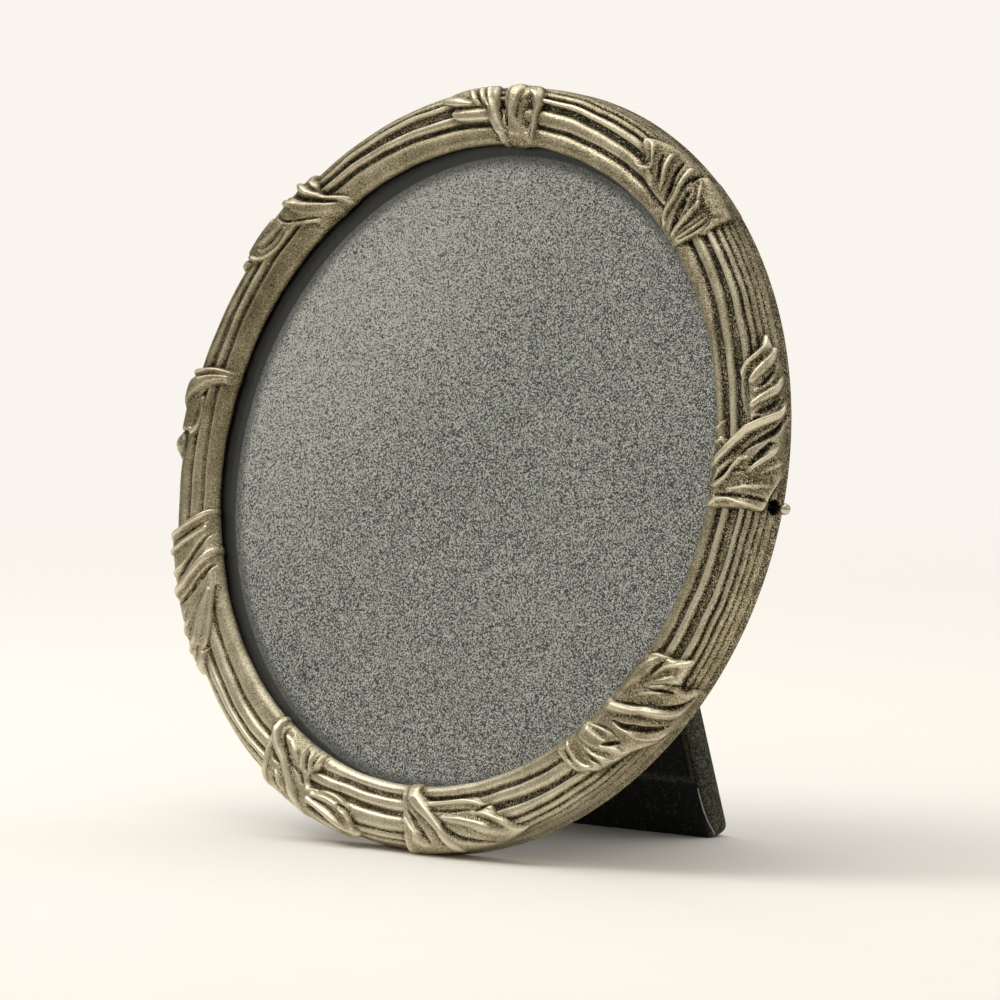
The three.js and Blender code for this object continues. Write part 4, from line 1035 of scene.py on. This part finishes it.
# pale cloth for the painted edge highlights
edgeGlintCloth = boardFinish("edge glint cloth", (0.33, 0.34, 0.3), (0.6, 0.6, 0.54))
brass = fittingFinish("plated hinge", (0.29, 0.21, 0.09), (0.52, 0.4, 0.2), 0.32)
steel = fittingFinish("pin steel", (0.42, 0.38, 0.29), (0.72, 0.68, 0.57), 0.2)
print("finishes ready")

# Pull pin hole in the ring's wall, and finer steps of the ring round it
pinHole = {
    "turn": -3.0,
    "height": 2.95,
    "radius": 1.3,
    "depth": 3.0,
    "brink": 0.12,  # share of the radius over which it goes down
    "fineSteps": 56,
    "fineSpan": 2.6,  # degrees to each side
    "fineClear": 1.02,  # times that span is kept free of even steps
}
holeAcross = girthEnd - (pinHole["height"] - ring["wallFootHeight"]) / math.cos(flare)


# Depth of the pin hole, from 0 outside to its full depth within its radius
def pinPit(turn, across):
    wallDegree = math.radians(1) * wallFootRadius
    away = np.hypot((turn - pinHole["turn"]) * wallDegree, across - holeAcross) / pinHole["radius"]
    return np.clip((1 - away) / pinHole["brink"] + 0.5, 0, 1) * pinHole["depth"]


# Part of the casting: the rows that show, with their wear, and the rows that close it behind
def castPiece(name, shown, wear, behind, behindWear, whole):
    points = np.concatenate([shown, behind], 1)
    piece = faceOut(surface(name, points, wrapU=whole, wrapV=True, capU=not whole))
    keepValue(piece, "wear", np.concatenate([wear, np.full(behind.shape[:2], behindWear)], 1))
    return dress(piece, "frame", pewter, "frame_ring")


# Ring: reeds carried round the axis, then the chamfer, back and rebates inside
def buildRing():
    even = np.linspace(-180, 180, ring["aroundSteps"], endpoint=False)
    fine = pinHole["turn"] + np.linspace(-1, 1, pinHole["fineSteps"]) * pinHole["fineSpan"]
    clear = np.abs(even - pinHole["turn"]) > pinHole["fineSpan"] * pinHole["fineClear"]
    turns = np.sort(np.concatenate([even[clear], fine]))
    across = np.linspace(0, girthEnd, int(girthEnd / ring["girthStep"]))
    turn, spot = np.meshgrid(turns, across, indexing="ij")
    relief = reedRelief(turn, spot)
    carved = relief
    for wrap in carving.values():
        for whole in (-360, 0):
            carved = np.maximum(carved, wrapRelief(turn - whole, spot, wrap))
    wear = wearOf(carved, wearing["aroundReach"], wearing["reach"] / ring["girthStep"], True)
    wear = np.where(spot > reeds["fine"][-1], wear + wearing["wall"], wear)
    pit = pinPit(turn, spot)
    # the pin hole is painted black, as the shade inside it
    wear = np.where(pit > wearing["pitFrom"], wearing["pit"], wear)
    ease, ledge, under = ring["ledgeRound"], ring["ledgeHeight"], ring["lipUnderside"]
    chamferIn, chamferUp = ring["chamferMiddle"]
    inside = np.array([
        (wallFootRadius - chamferIn, chamferUp),
        (wallFootRadius - ring["backChamfer"], 0),
        (backRadius + ease, 0),
        (backRadius, ease),
        (backRadius, ledge),
        (glassRadius, ledge),
        (glassRadius, under),
        *((ring["openingRadius"] + inset, under) for inset in ring["lipInset"]),
    ])
    innerTurn, radius = np.meshgrid(turns, inside[:, 0], indexing="ij")
    height = np.broadcast_to(inside[:, 1], radius.shape)
    shown, behind = onGirth(turn, spot, relief - pit), roundRing(innerTurn, radius, height)
    return castPiece("ring_reeds", shown, wear, behind, wearing["inside"], True)


ringPiece = buildRing()
print("ring:", len(ringPiece.data.polygons), "faces")


# Leaf wrap: its height over a fine grid, sunk under the reeds where nothing is carved, closed underneath
def buildWrap(name, wrap):
    outline = np.concatenate([np.array(places) for _, *places in wrap["bodies"]])
    cell, margin = wrapMesh["cell"], wrapMesh["margin"]
    first, last = outline[:, 0].min() - margin / degreeMm, outline[:, 0].max() + margin / degreeMm
    turns = np.arange(first, last, cell / degreeMm)
    across = np.arange(0, min(outline[:, 1].max() + margin, girthEnd), cell)
    turn, spot = np.meshgrid(turns, across, indexing="ij")
    relief = wrapRelief(turn, spot, wrap)
    relief = blur(blur(relief, wrapMesh["soften"], 0), wrapMesh["soften"], 1)
    reach = wearing["reach"] / cell
    wear = wearOf(np.maximum(relief, reedRelief(turn, spot)), reach, reach)
    under = np.linspace(across[-1], 0, wrapMesh["underRows"])
    underTurn, underSpot = np.meshgrid(turns, under, indexing="ij")
    sunk = -wrapMesh["sunk"] - wrapMesh["underDrop"] - pinPit(underTurn, underSpot)
    shown, behind = onGirth(turn, spot, relief - pinPit(turn, spot)), onGirth(underTurn, underSpot, sunk)
    return castPiece("wrap_" + name, shown, wear, behind, wearing["under"], False)


for wrapName, wrapParts in carving.items():
    wrapPiece = buildWrap(wrapName, wrapParts)
    print("wrap", wrapName, len(wrapPiece.data.polygons), "faces")


# Closed outline with its corners rounded; corners are (x, z, radius), anticlockwise
def roundedOutline(corners, perCorner=8):
    loop = []
    for k, (x, z, radius) in enumerate(corners):
        here = np.array([x, z])
        before = np.array(corners[k - 1][:2]) - here
        after = np.array(corners[(k + 1) % len(corners)][:2]) - here
        before, after = before / np.linalg.norm(before), after / np.linalg.norm(after)
        t = np.linspace(0, 1, perCorner)[:, None]
        first, last = here + before * radius, here + after * radius
        loop.append((1 - t) ** 2 * first + 2 * t * (1 - t) * here + t ** 2 * last)
    return np.vstack(loop)


# Upright rectangle with one rounding for its lower corners and one for its upper ones
def rectangle(half, low, high, lowRound, highRound):
    lower = [(-half, low, lowRound), (half, low, lowRound)]
    return roundedOutline(lower + [(half, high, highRound), (-half, high, highRound)])


# Plate on an outline: its rim is a half round of the given radius, its faces are flat caps
def plateGrid(outline, low, high, edge, rimSteps=6):
    ahead = np.roll(outline, -1, 0) - np.roll(outline, 1, 0)
    ahead /= np.linalg.norm(ahead, axis=1, keepdims=True)
    inward = np.stack([-ahead[:, 1], ahead[:, 0]], 1)
    turn = np.linspace(0, math.pi / 2, rimSteps)
    inset = np.concatenate([edge * (1 - np.sin(turn)), edge * (1 - np.cos(turn))])
    depth = np.concatenate([low + edge * (1 - np.cos(turn)), high - edge * (1 - np.sin(turn))])
    flat = outline[:, None] + inward[:, None] * inset[None, :, None]
    return np.stack([flat[..., 0], np.broadcast_to(depth, flat.shape[:2]), flat[..., 1]], -1)


# Profile of (radius, distance along) turned about an axis through a middle point
def turnedGrid(profile, middle, axis, steps=40):
    aslant = [0.31, 0.87, 0.38]  # any way off the axis
    axis = np.array(axis, float) / np.linalg.norm(axis)
    side = np.cross(axis, aslant)
    side /= np.linalg.norm(side)
    other = np.cross(axis, side)
    angle = np.linspace(0, 2 * math.pi, steps, endpoint=False)[:, None, None]
    radius, along = np.array(profile, float).T
    spoke = np.cos(angle) * side + np.sin(angle) * other
    return np.array(middle) + radius[None, :, None] * spoke + along[None, :, None] * axis


# Tube wall as a closed loop of (radius, along) with eased ends
def tubeProfile(bore, outer, start, end, ease=0.12):
    return [
        (bore, start + ease), (bore + ease, start), (outer - ease, start), (outer, start + ease),
        (outer, end - ease), (outer - ease, end), (bore + ease, end), (bore, end - ease),
    ]


# Plate or turned piece, capped or closed along its profile, with edges past an angle kept sharp
def finePiece(name, grid, place, body, finish, slot, node, sharp=35, closed=False):
    piece = surface(name, place(grid), wrapU=True, wrapV=closed, capV=not closed)
    piece.data.set_sharp_from_angle(angle=math.radians(sharp))
    return dress(faceOut(piece), body, finish, node)


# Leg axes: the hinge axis is the origin, Z runs up the leg, and the open leg swings out behind
hinge = {
    "height": 24.0,
    "depth": 1.6,
    "open": 28.0,
    "width": 26.0,
    "plate": 0.7,
    "edge": 0.2,
    "knuckle": 1.4,
    "bore": 0.8,
    "middleKnuckle": 12.0,
    "knuckleGap": 0.3,
    "fixedTop": 13.0,
    "fixedLow": 0.6,  # knuckle radii above the axis
    "fixedRounds": (0.3, 3.0),  # lower and upper corners
    "fixedRivet": (8.5, 8.5),  # out and up from the hinge axis
    "legRivet": (6.0, -13.0),
    "inBack": 3.2,  # rivet's length in the back
    "movingWidth": 20.0,
    "movingDrop": 21.0,
    "shoulder": -1.6,  # top of the moving leaf beside its knuckle
    "neck": -0.5,
    "movingRounds": (2.5, 0.6, 0.3, 0.2),  # corners from the foot up to the neck
    "tongueWidth": 9.0,
    "tongueLow": 0.9,
    "tongueHeight": 6.9,
    "tongueGap": 0.3,
    "tongueRounds": (0.2, 1.2),
    "loose": 0.2,
    "head": [(0.05, 0.6), (0.75, 0.6), (1.05, 0.45), (1.15, 0.25), (1.1, 0), (0.7, 0)],  # radius, out
    "axleSteps": 28,
}
openAngle = math.radians(hinge["open"])


# Leg axes to the place on the table
def standLeg(local):
    return stand(tilt(local, -openAngle, hinge["depth"], hinge["height"]))


rivet = {
    "shank": 0.9,
    "head": 1.9,
    "dome": 0.75,
    "domePower": 0.8,  # 1 is an ellipse, less is fuller
    "domeSteps": 10,
    "brim": 0.15,
    "sink": 0.1,
    "tip": 0.02,
    "around": 32,
}


# Rivet as (radius, along): shank under a domed head, whose radius is a cosine to a power and its rise a sine
def rivetProfile(length):
    t = np.linspace(0, 1, rivet["domeSteps"]) * math.pi / 2
    radius = rivet["head"] * np.cos(t) ** rivet["domePower"]
    dome = np.stack([radius, rivet["brim"] + rivet["dome"] * np.sin(t)], 1)
    dome[-1, 0] = rivet["tip"]
    shank = [(rivet["tip"], -length), (rivet["shank"], -length), (rivet["shank"], 0), (rivet["head"], 0)]
    return np.vstack([shank, dome])


# Hinge piece in plated brass
def hingePiece(name, grid, place, body, node, **edges):
    finePiece(name, grid, place, body, brass, "hinge_metal", node, **edges)


# Hinge: two plates and a stop tongue, three knuckles on an axle with peened heads, and four rivets
def buildHinge():
    half, inner = hinge["width"] / 2, hinge["middleKnuckle"] / 2
    loose, plate, knuckle, edge = (hinge[key] for key in ("loose", "plate", "knuckle", "edge"))
    base = hinge["height"]
    axle, along = (0, hinge["depth"], base), (1, 0, 0)
    low, top = base + knuckle * hinge["fixedLow"], base + hinge["fixedTop"]
    grid = plateGrid(rectangle(half, low, top, *hinge["fixedRounds"]), loose, loose + plate, edge)
    hingePiece("hinge_back_plate", grid, stand, "frame", "hinge_fixed_leaf")
    fixedIn = inner + hinge["knuckleGap"]
    for side, start, end, middle, place, body, node in (
        ("left", -half, -fixedIn, axle, stand, "frame", "hinge_fixed_leaf"),
        ("right", fixedIn, half, axle, stand, "frame", "hinge_fixed_leaf"),
        ("middle", -inner, inner, (0, 0, 0), standLeg, "leg", "hinge_moving_leaf"),
    ):
        grid = turnedGrid(tubeProfile(hinge["bore"], knuckle, start, end), middle, along)
        hingePiece("hinge_knuckle_" + side, grid, place, body, node, sharp=50, closed=True)
    wide, drop = hinge["movingWidth"] / 2, -hinge["movingDrop"]
    shoulder, neck = hinge["shoulder"], hinge["neck"]
    places = [(wide, drop), (wide, shoulder), (inner, shoulder), (inner, neck)]
    right = [(x, z, radius) for (x, z), radius in zip(places, hinge["movingRounds"])]
    left = [(-x, z, radius) for x, z, radius in right]
    outline = roundedOutline(left[:1] + right + left[:0:-1])
    grid = plateGrid(outline, -knuckle, -knuckle + plate, edge)
    hingePiece("hinge_leg_plate", grid, standLeg, "leg", "hinge_moving_leaf")
    tongueHalf, low, top = hinge["tongueWidth"] / 2, hinge["tongueLow"], hinge["tongueHeight"]
    outline = rectangle(tongueHalf, low, top, *hinge["tongueRounds"])
    front = loose + plate + hinge["tongueGap"]
    grid = plateGrid(outline, front, front + plate, edge) + np.array([0, 0, base])
    hingePiece("hinge_stop_tongue", grid, stand, "leg", "hinge_moving_leaf")
    head = [(radius, -half - loose - out) for radius, out in hinge["head"]]
    profile = head + [(radius, -away) for radius, away in reversed(head)]
    grid = turnedGrid(profile, axle, along, hinge["axleSteps"])
    hingePiece("hinge_axle", grid, stand, "frame", "hinge_pin", sharp=50)
    for which, (out, up), headAt, sunk, place, body in (
        ("back", hinge["fixedRivet"], 2 * loose + plate, hinge["inBack"], stand, "frame"),
        ("leg", hinge["legRivet"], leg["rear"] + loose, knuckle, standLeg, "leg"),
    ):
        z = up + (base if which == "back" else 0)
        for side, x in (("left", -out), ("right", out)):
            middle = (x, headAt - rivet["sink"], z)
            grid = turnedGrid(rivetProfile(headAt + sunk), middle, (0, 1, 0), rivet["around"])
            hingePiece(f"rivet_{which}_{side}", grid, place, body, f"{which}_rivet_{side}", sharp=60)


# Leg cover and lining, in the leg's own millimetres
leg = {
    "topWidth": 46.0,
    "footWidth": 57.6,
    "topDrop": 2.4,
    "front": -0.5,
    "rear": 4.8,
    "topCorner": 5.0,
    "footCorner": 2.0,
    "footTrim": 0.7,
    "sideHem": 2.4,
    "footHem": 12.6,
    "hemRise": 0.3,
    "hemEase": 0.35,
    "nick": 0.28,
    "nickOut": 0.15,
    "nickWidth": 0.22,
    "edge": 0.9,
    "rowStep": 0.55,
    "flatSteps": 80,
    "roundSteps": 24,
    "endSteps": 7,
    "endGap": 0.3,
    "foldPale": 1.3,  # how much paler the cloth is along the hem's fold
    "foldOut": 0.7,
    "foldWidth": 0.55,
    "litSideFrom": 1.1,  # painted light on the sides, from this far in to the edge
    "litSideEase": 0.9,
    "glintRun": 10.5,  # the painted edge highlight runs this far up from the foot
    "glintEnd": 0.9,
    "glintTurn": 58.0,  # degrees round the side at the foot
    "glintRound": 0.13,
    "glintSteps": 40,
    "glintAround": 10,
}
lining = {"gap": 0.3, "front": 0.02, "rear": 0.6, "edge": 0.28, "corners": (2.6, 0.5)}
hingeAbove = rimDrop + hinge["height"] * math.cos(lean) - hinge["depth"] * math.sin(lean)
stride = openAngle - lean
legLength = (hingeAbove + leg["front"] * math.sin(stride)) / math.cos(stride) + leg["footTrim"]


# Padded slab down the leg: a rounded rectangle carried from top to foot, drawn in at its corners and ends
def slabGrid(top, foot, halves, front, rear, edge, corners, relief=None):
    middle, thick = (front + rear) / 2, (rear - front) / 2
    ends = (1 - np.cos(np.linspace(0, math.pi / 2, leg["endSteps"]))) * edge
    ease = np.concatenate([ends, np.arange(edge + leg["endGap"], (foot - top) / 2, leg["rowStep"])])
    drops = np.concatenate([top + ease, (foot - ease)[::-1]])
    half = halves[0] + (halves[1] - halves[0]) * ((drops - top) / (foot - top))
    for corner, away in zip(corners, (drops - top, foot - drops)):
        inside = np.clip(corner - away, 0, corner)
        half = half - (corner - np.sqrt(np.maximum(corner ** 2 - inside ** 2, 0)))
    endAway = np.minimum(drops - top, foot - drops)
    pinch = np.sqrt(np.clip(1 - np.clip(1 - endAway / edge, 0, 1) ** 2, 0, 1))
    straight = np.linspace(-1, 1, leg["flatSteps"])
    arc = np.linspace(0, math.pi, leg["roundSteps"])[1:-1]
    x = np.concatenate([straight, np.ones(len(arc)), straight[::-1], -np.ones(len(arc))])
    bulge = np.concatenate([0 * straight, np.sin(arc), 0 * straight, np.sin(arc)])
    y = np.concatenate([-np.ones(len(straight)), -np.cos(arc), np.ones(len(straight)), np.cos(arc)])
    width = (half[:, None] - edge) * x + np.sign(x) * bulge * edge
    drop = np.broadcast_to(drops[:, None], width.shape)
    depth = middle + (thick - edge * (1 - pinch)[:, None]) * y
    if relief:
        depth = depth + relief(width, drop, half[:, None]) * (y == -1)
    return np.stack([width, depth, -drop], -1)


# How far a spot lies inside the hems along the sides and above the foot
def hemAway(width, drop, half):
    return np.minimum(half - np.abs(width) - leg["sideHem"], legLength - drop - leg["footHem"])


# Hem relief on the front: raised along the sides and above the foot, with a shallow nick at its edge
def hemRelief(width, drop, half):
    inner = hemAway(width, drop, half)
    sunk = np.clip(inner / leg["hemEase"], 0, 1) * leg["hemRise"]
    return sunk + leg["nick"] * np.exp(-((inner + leg["nickOut"]) / leg["nickWidth"]) ** 2)


# Cloth piece on the leg
def legPiece(name, grid, finish, node):
    piece = faceOut(surface(name, standLeg(grid), wrapV=True, capU=True))
    return dress(piece, "leg", finish, node)


# Painted edge highlight: a pale thread on the leg's rounded side along the hem edge, from its front to the
# corner at the foot
def buildEdgeGlint(side, way, cover):
    drops = np.linspace(legLength - leg["glintRun"], legLength - leg["glintEnd"], leg["glintSteps"])
    halves = np.interp(drops, -cover[:, 0, 2], np.abs(cover[..., 0]).max(1))
    corner = math.radians(leg["glintTurn"]) * np.linspace(0, 1, len(drops)) ** 2
    turn = np.linspace(0, 2 * math.pi, leg["glintAround"], endpoint=False)
    out = halves - leg["edge"] + leg["edge"] * np.sin(corner)
    middle, thick = (leg["front"] + leg["rear"]) / 2, (leg["rear"] - leg["front"]) / 2
    width = way * out[:, None] + leg["glintRound"] * np.cos(turn)
    depth = (middle - thick * np.cos(corner))[:, None] + leg["glintRound"] * np.sin(turn)
    grid = np.stack([width, depth, np.broadcast_to(-drops[:, None], width.shape)], -1)
    legPiece("leg_edge_glint_" + side, grid, edgeGlintCloth, "leg_velvet")


# Leg: velvet cover with painted light on its sides and a paler hem fold, pale threads as painted edge
# highlights, and a lining between hems
def buildLeg():
    top, front, rear, edge = leg["topDrop"], leg["front"], leg["rear"], leg["edge"]
    halves = (leg["topWidth"] / 2, leg["footWidth"] / 2)
    corners = (leg["topCorner"], leg["footCorner"])
    grid = slabGrid(top, legLength, halves, front, rear, edge, corners, hemRelief)
    width, depth, up = np.moveaxis(grid, -1, 0)
    half = np.abs(width).max(1, keepdims=True)
    # painted light on the leg's sides
    litSides = np.clip((np.abs(width) - half + leg["litSideFrom"]) / leg["litSideEase"], 0, 1)
    hem = hemAway(width, -up, half)
    fold = leg["foldPale"] * np.exp(-((hem + leg["foldOut"]) / leg["foldWidth"]) ** 2)
    fold = fold * (depth < front + edge)
    cover = legPiece("leg_cover", grid, velvet, "leg_velvet")
    keepValue(cover, "spread", np.maximum(litSides, fold))
    for side, way in (("left", -1), ("right", 1)):
        buildEdgeGlint(side, way, grid)
    gap = lining["gap"]
    inset = leg["sideHem"] + gap
    foot = legLength - leg["footHem"] - gap
    halves = (halves[0] - inset, halves[1] - inset - 2 * gap)
    rear, front = front + lining["rear"], front + lining["front"]
    grid = slabGrid(top + inset, foot, halves, front, rear, lining["edge"], lining["corners"])
    legPiece("leg_lining_cloth", grid, velvet, "leg_lining")


buildHinge()
buildLeg()
print("hinge and leg ready")

backCover = {
    "gap": 0.3,
    "round": 0.9,
    "depth": 3.5,
    "cloth": 0.65,
    "face": 0.7,
    "flatIn": 1.0,
    "middle": 0.05,
    "edgeSteps": 8,
    "rings": 30,
    "around": 160,
}


# Velvet over the round back: flat rings, a quarter circle at the edge and a thin wall, turned about the axis
def buildBack():
    radius, soft = backRadius - backCover["gap"], backCover["round"]
    t = np.linspace(0, math.pi / 2, backCover["edgeSteps"])
    edge = np.stack([radius - soft + soft * np.sin(t), -soft + soft * np.cos(t)], 1)
    rings = np.linspace(backCover["middle"], radius - backCover["flatIn"], backCover["rings"])
    face = np.stack([rings, 0 * rings], 1)
    inner = radius - backCover["cloth"]
    inside = [(radius, -backCover["depth"]), (inner, -backCover["depth"]), (inner, -backCover["face"])]
    profile = np.vstack([face, edge, inside, [(backCover["middle"], -backCover["face"])]])
    grid = turnedGrid(profile, (0, 0, 0), (0, 1, 0), backCover["around"])
    finePiece("back_cloth", grid, stand, "frame", velvet, "dark_velvet", "back_velvet", sharp=60)


buildBack()

pin = {
    "ball": 1.05,
    "shaft": 0.5,
    "neck": 0.62,
    "standOff": 0.75,
    "inBoard": 3.5,
    "height": 2.3,
    "loose": 0.2,
    "tip": 0.02,
    "point": 0.5,
    "collar": (0.35, 0.1),  # start and end before the ball
    "ballSteps": 26,
    "around": 36,
}


# Pull pin: tip, shaft, short neck, and an arc for the ball, turned about its own axis
def buildPin():
    ballAt = wallFootRadius + pin["standOff"] + pin["ball"]
    tip = backRadius - backCover["gap"] - backCover["cloth"] - pin["loose"] - pin["inBoard"] - ballAt
    neck = math.asin(pin["neck"] / pin["ball"])
    t = np.linspace(neck, math.pi, pin["ballSteps"])
    ball = np.stack([pin["ball"] * np.sin(t), -pin["ball"] * np.cos(t)], 1)
    ball[-1, 0] = pin["tip"]
    foot = -pin["ball"] * math.cos(neck)
    stem = [
        (pin["tip"], tip),
        (pin["shaft"] / 2, tip),
        (pin["shaft"], tip + pin["point"]),
        (pin["shaft"], foot - pin["collar"][0]),
        (pin["neck"], foot - pin["collar"][1]),
    ]
    angle = math.radians(pinHole["turn"])
    axis = (math.cos(angle), 0, math.sin(angle))
    middle = (ballAt * axis[0], -pin["height"], ballAt * axis[2])
    grid = turnedGrid(np.vstack([stem, ball]), middle, axis, pin["around"])
    finePiece("pull_pin_ball", grid, stand, "pull_pin", steel, "pin_metal", "locking_pin", sharp=60)


buildPin()
print("back and pin ready")

# Solids that stay take a finish
for nodeName, finish in {
    "glass_pane": glassFinish(),
    "insert_card": insertFinish(),
    "filler_card": board,
    "back_board": board,
    "leg_board": board,
    "retaining_peg": steel,
}.items():
    nodes[nodeName].data.materials.clear()
    nodes[nodeName].data.materials.append(finish)

# Camera, in degrees, millimetres and pixels of a square picture
view = {
    "azimuth": 41.202,
    "elevation": 4.2,
    "distance": 1199.86,
    "focal": 6519.59,  # pixels
    "picture": 1000,
    "axisAt": (490.79, 471.73),  # pixel that the lens looks straight at
    "target": (0, 18.33, 68.387),
    "sensor": 36.0,
    "clip": (0.01, 50),  # metres
}


# Sets a camera or lamp at a place in metres, with its back in the given direction
def aim(thing, place, back):
    back = back / np.linalg.norm(back)
    right = np.cross([0, 0, 1], back)
    right /= np.linalg.norm(right)
    matrix = np.eye(4)
    matrix[:3] = np.stack([right, np.cross(back, right), back, place], 1)
    thing.matrix_world = Matrix(matrix)
    bpy.context.scene.collection.objects.link(thing)


# Camera on a sphere round the target, shifted so that the pixel it looks straight at falls where it should
def buildCamera():
    a, e = math.radians(view["azimuth"]), math.radians(view["elevation"])
    back = np.array([math.sin(a) * math.cos(e), -math.cos(a) * math.cos(e), math.sin(e)])
    data = bpy.data.cameras.new("view")
    data.sensor_width = view["sensor"]
    data.lens = view["focal"] / view["picture"] * view["sensor"]
    data.shift_x = 0.5 - view["axisAt"][0] / view["picture"]
    data.shift_y = view["axisAt"][1] / view["picture"] - 0.5
    data.clip_start, data.clip_end = view["clip"]
    camera = bpy.data.objects.new("view", data)
    aim(camera, (np.array(view["target"]) + view["distance"] * back) * mm, back)
    bpy.context.scene.camera = camera


studio = {
    "paper": (0.985, 0.955, 0.905),
    "fibre": 60,
    "fibreShade": 0.985,
    "backdrop": (0.952, 0.907, 0.85),
    "reach": 0.82,  # metres
    "middle": 0.0001,
    "rings": 12,
    "around": 120,
    "fadeFrom": 0.2,  # from here out the paper turns into the backdrop
    "roomTint": (1.0, 0.95, 0.86),
    "roomLow": 0.36,
    "roomHigh": 0.55,
    "roomRise": 0.9,
}


# Pale paper in flat rings, which turns into the backdrop far out for the camera alone
def buildFloor():
    rings = np.linspace(studio["middle"], studio["reach"], studio["rings"])
    angle = np.linspace(0, 2 * math.pi, studio["around"], endpoint=False)
    radius, around = np.meshgrid(rings, angle, indexing="ij")
    points = np.stack([radius * np.cos(around), radius * np.sin(around), 0 * radius], -1)
    piece = surface("floor", points.transpose(1, 0, 2), wrapU=True)
    material, wire, shader = newFinish("pale paper")
    shade = tuple(studio["fibreShade"] * c for c in studio["paper"])
    tint = blend(wire, noise(wire, studio["fibre"], 3), studio["paper"], shade)
    wire.feed(shader.inputs, {"Base Color": tint, "Roughness": 0.95, "Specular IOR Level": 0.0})
    eye = wire.node("LightPath", output="Is Camera Ray")
    place = wire.node("TexCoord", output="Object")
    far = wire.node("VectorMath", {"operation": "LENGTH"}, {0: place}, "Value")
    glow = wire.node("Emission", None, {"Color": (*studio["backdrop"], 1), "Strength": 1.0})
    layOver(wire, shader, eye * far.clip(studio["fadeFrom"], studio["reach"]), glow)
    piece.data.materials.append(material)


# Room that is bright above and dim around, with a plain backdrop for the camera
def buildRoom():
    world = bpy.data.worlds.new("room")
    world.use_nodes = True
    bpy.context.scene.world = world
    wire = Wire(world.node_tree)
    eye = wire.node("LightPath", output="Is Camera Ray")
    way = wire.node("TexCoord", output="Generated")
    above = wire.node("SeparateXYZ", None, {0: way}, "Z").clip(0.0, studio["roomRise"])
    room = above * (studio["roomHigh"] - studio["roomLow"]) + studio["roomLow"]
    wire.feed(world.node_tree.nodes["Background"].inputs, {
        "Color": blend(wire, eye, studio["roomTint"], studio["backdrop"]),
        "Strength": eye + (1 - eye) * room,
    })


# Place in metres, size and power
lamps = {
    "overhead": ((-0.3, 0.05, 1.1), 1.4, 7.4),
    "frontLeft": ((-0.6, -0.5, 0.95), 0.5, 3.0),
    "rightBack": ((0.95, 0.6, 0.55), 0.7, 1.0),
}


# Soft square lamps aimed at the middle of the frame
def buildLamps():
    for name, (place, size, power) in lamps.items():
        data = bpy.data.lights.new(name, "AREA")
        data.shape = "SQUARE"
        data.size, data.energy = size, power
        lamp = bpy.data.objects.new(name, data)
        aim(lamp, place, np.array(place) - np.array(view["target"]) * mm)


buildCamera()
buildFloor()
buildRoom()
buildLamps()
bpy.context.scene.view_settings.view_transform = "Standard"
print("camera and studio ready")
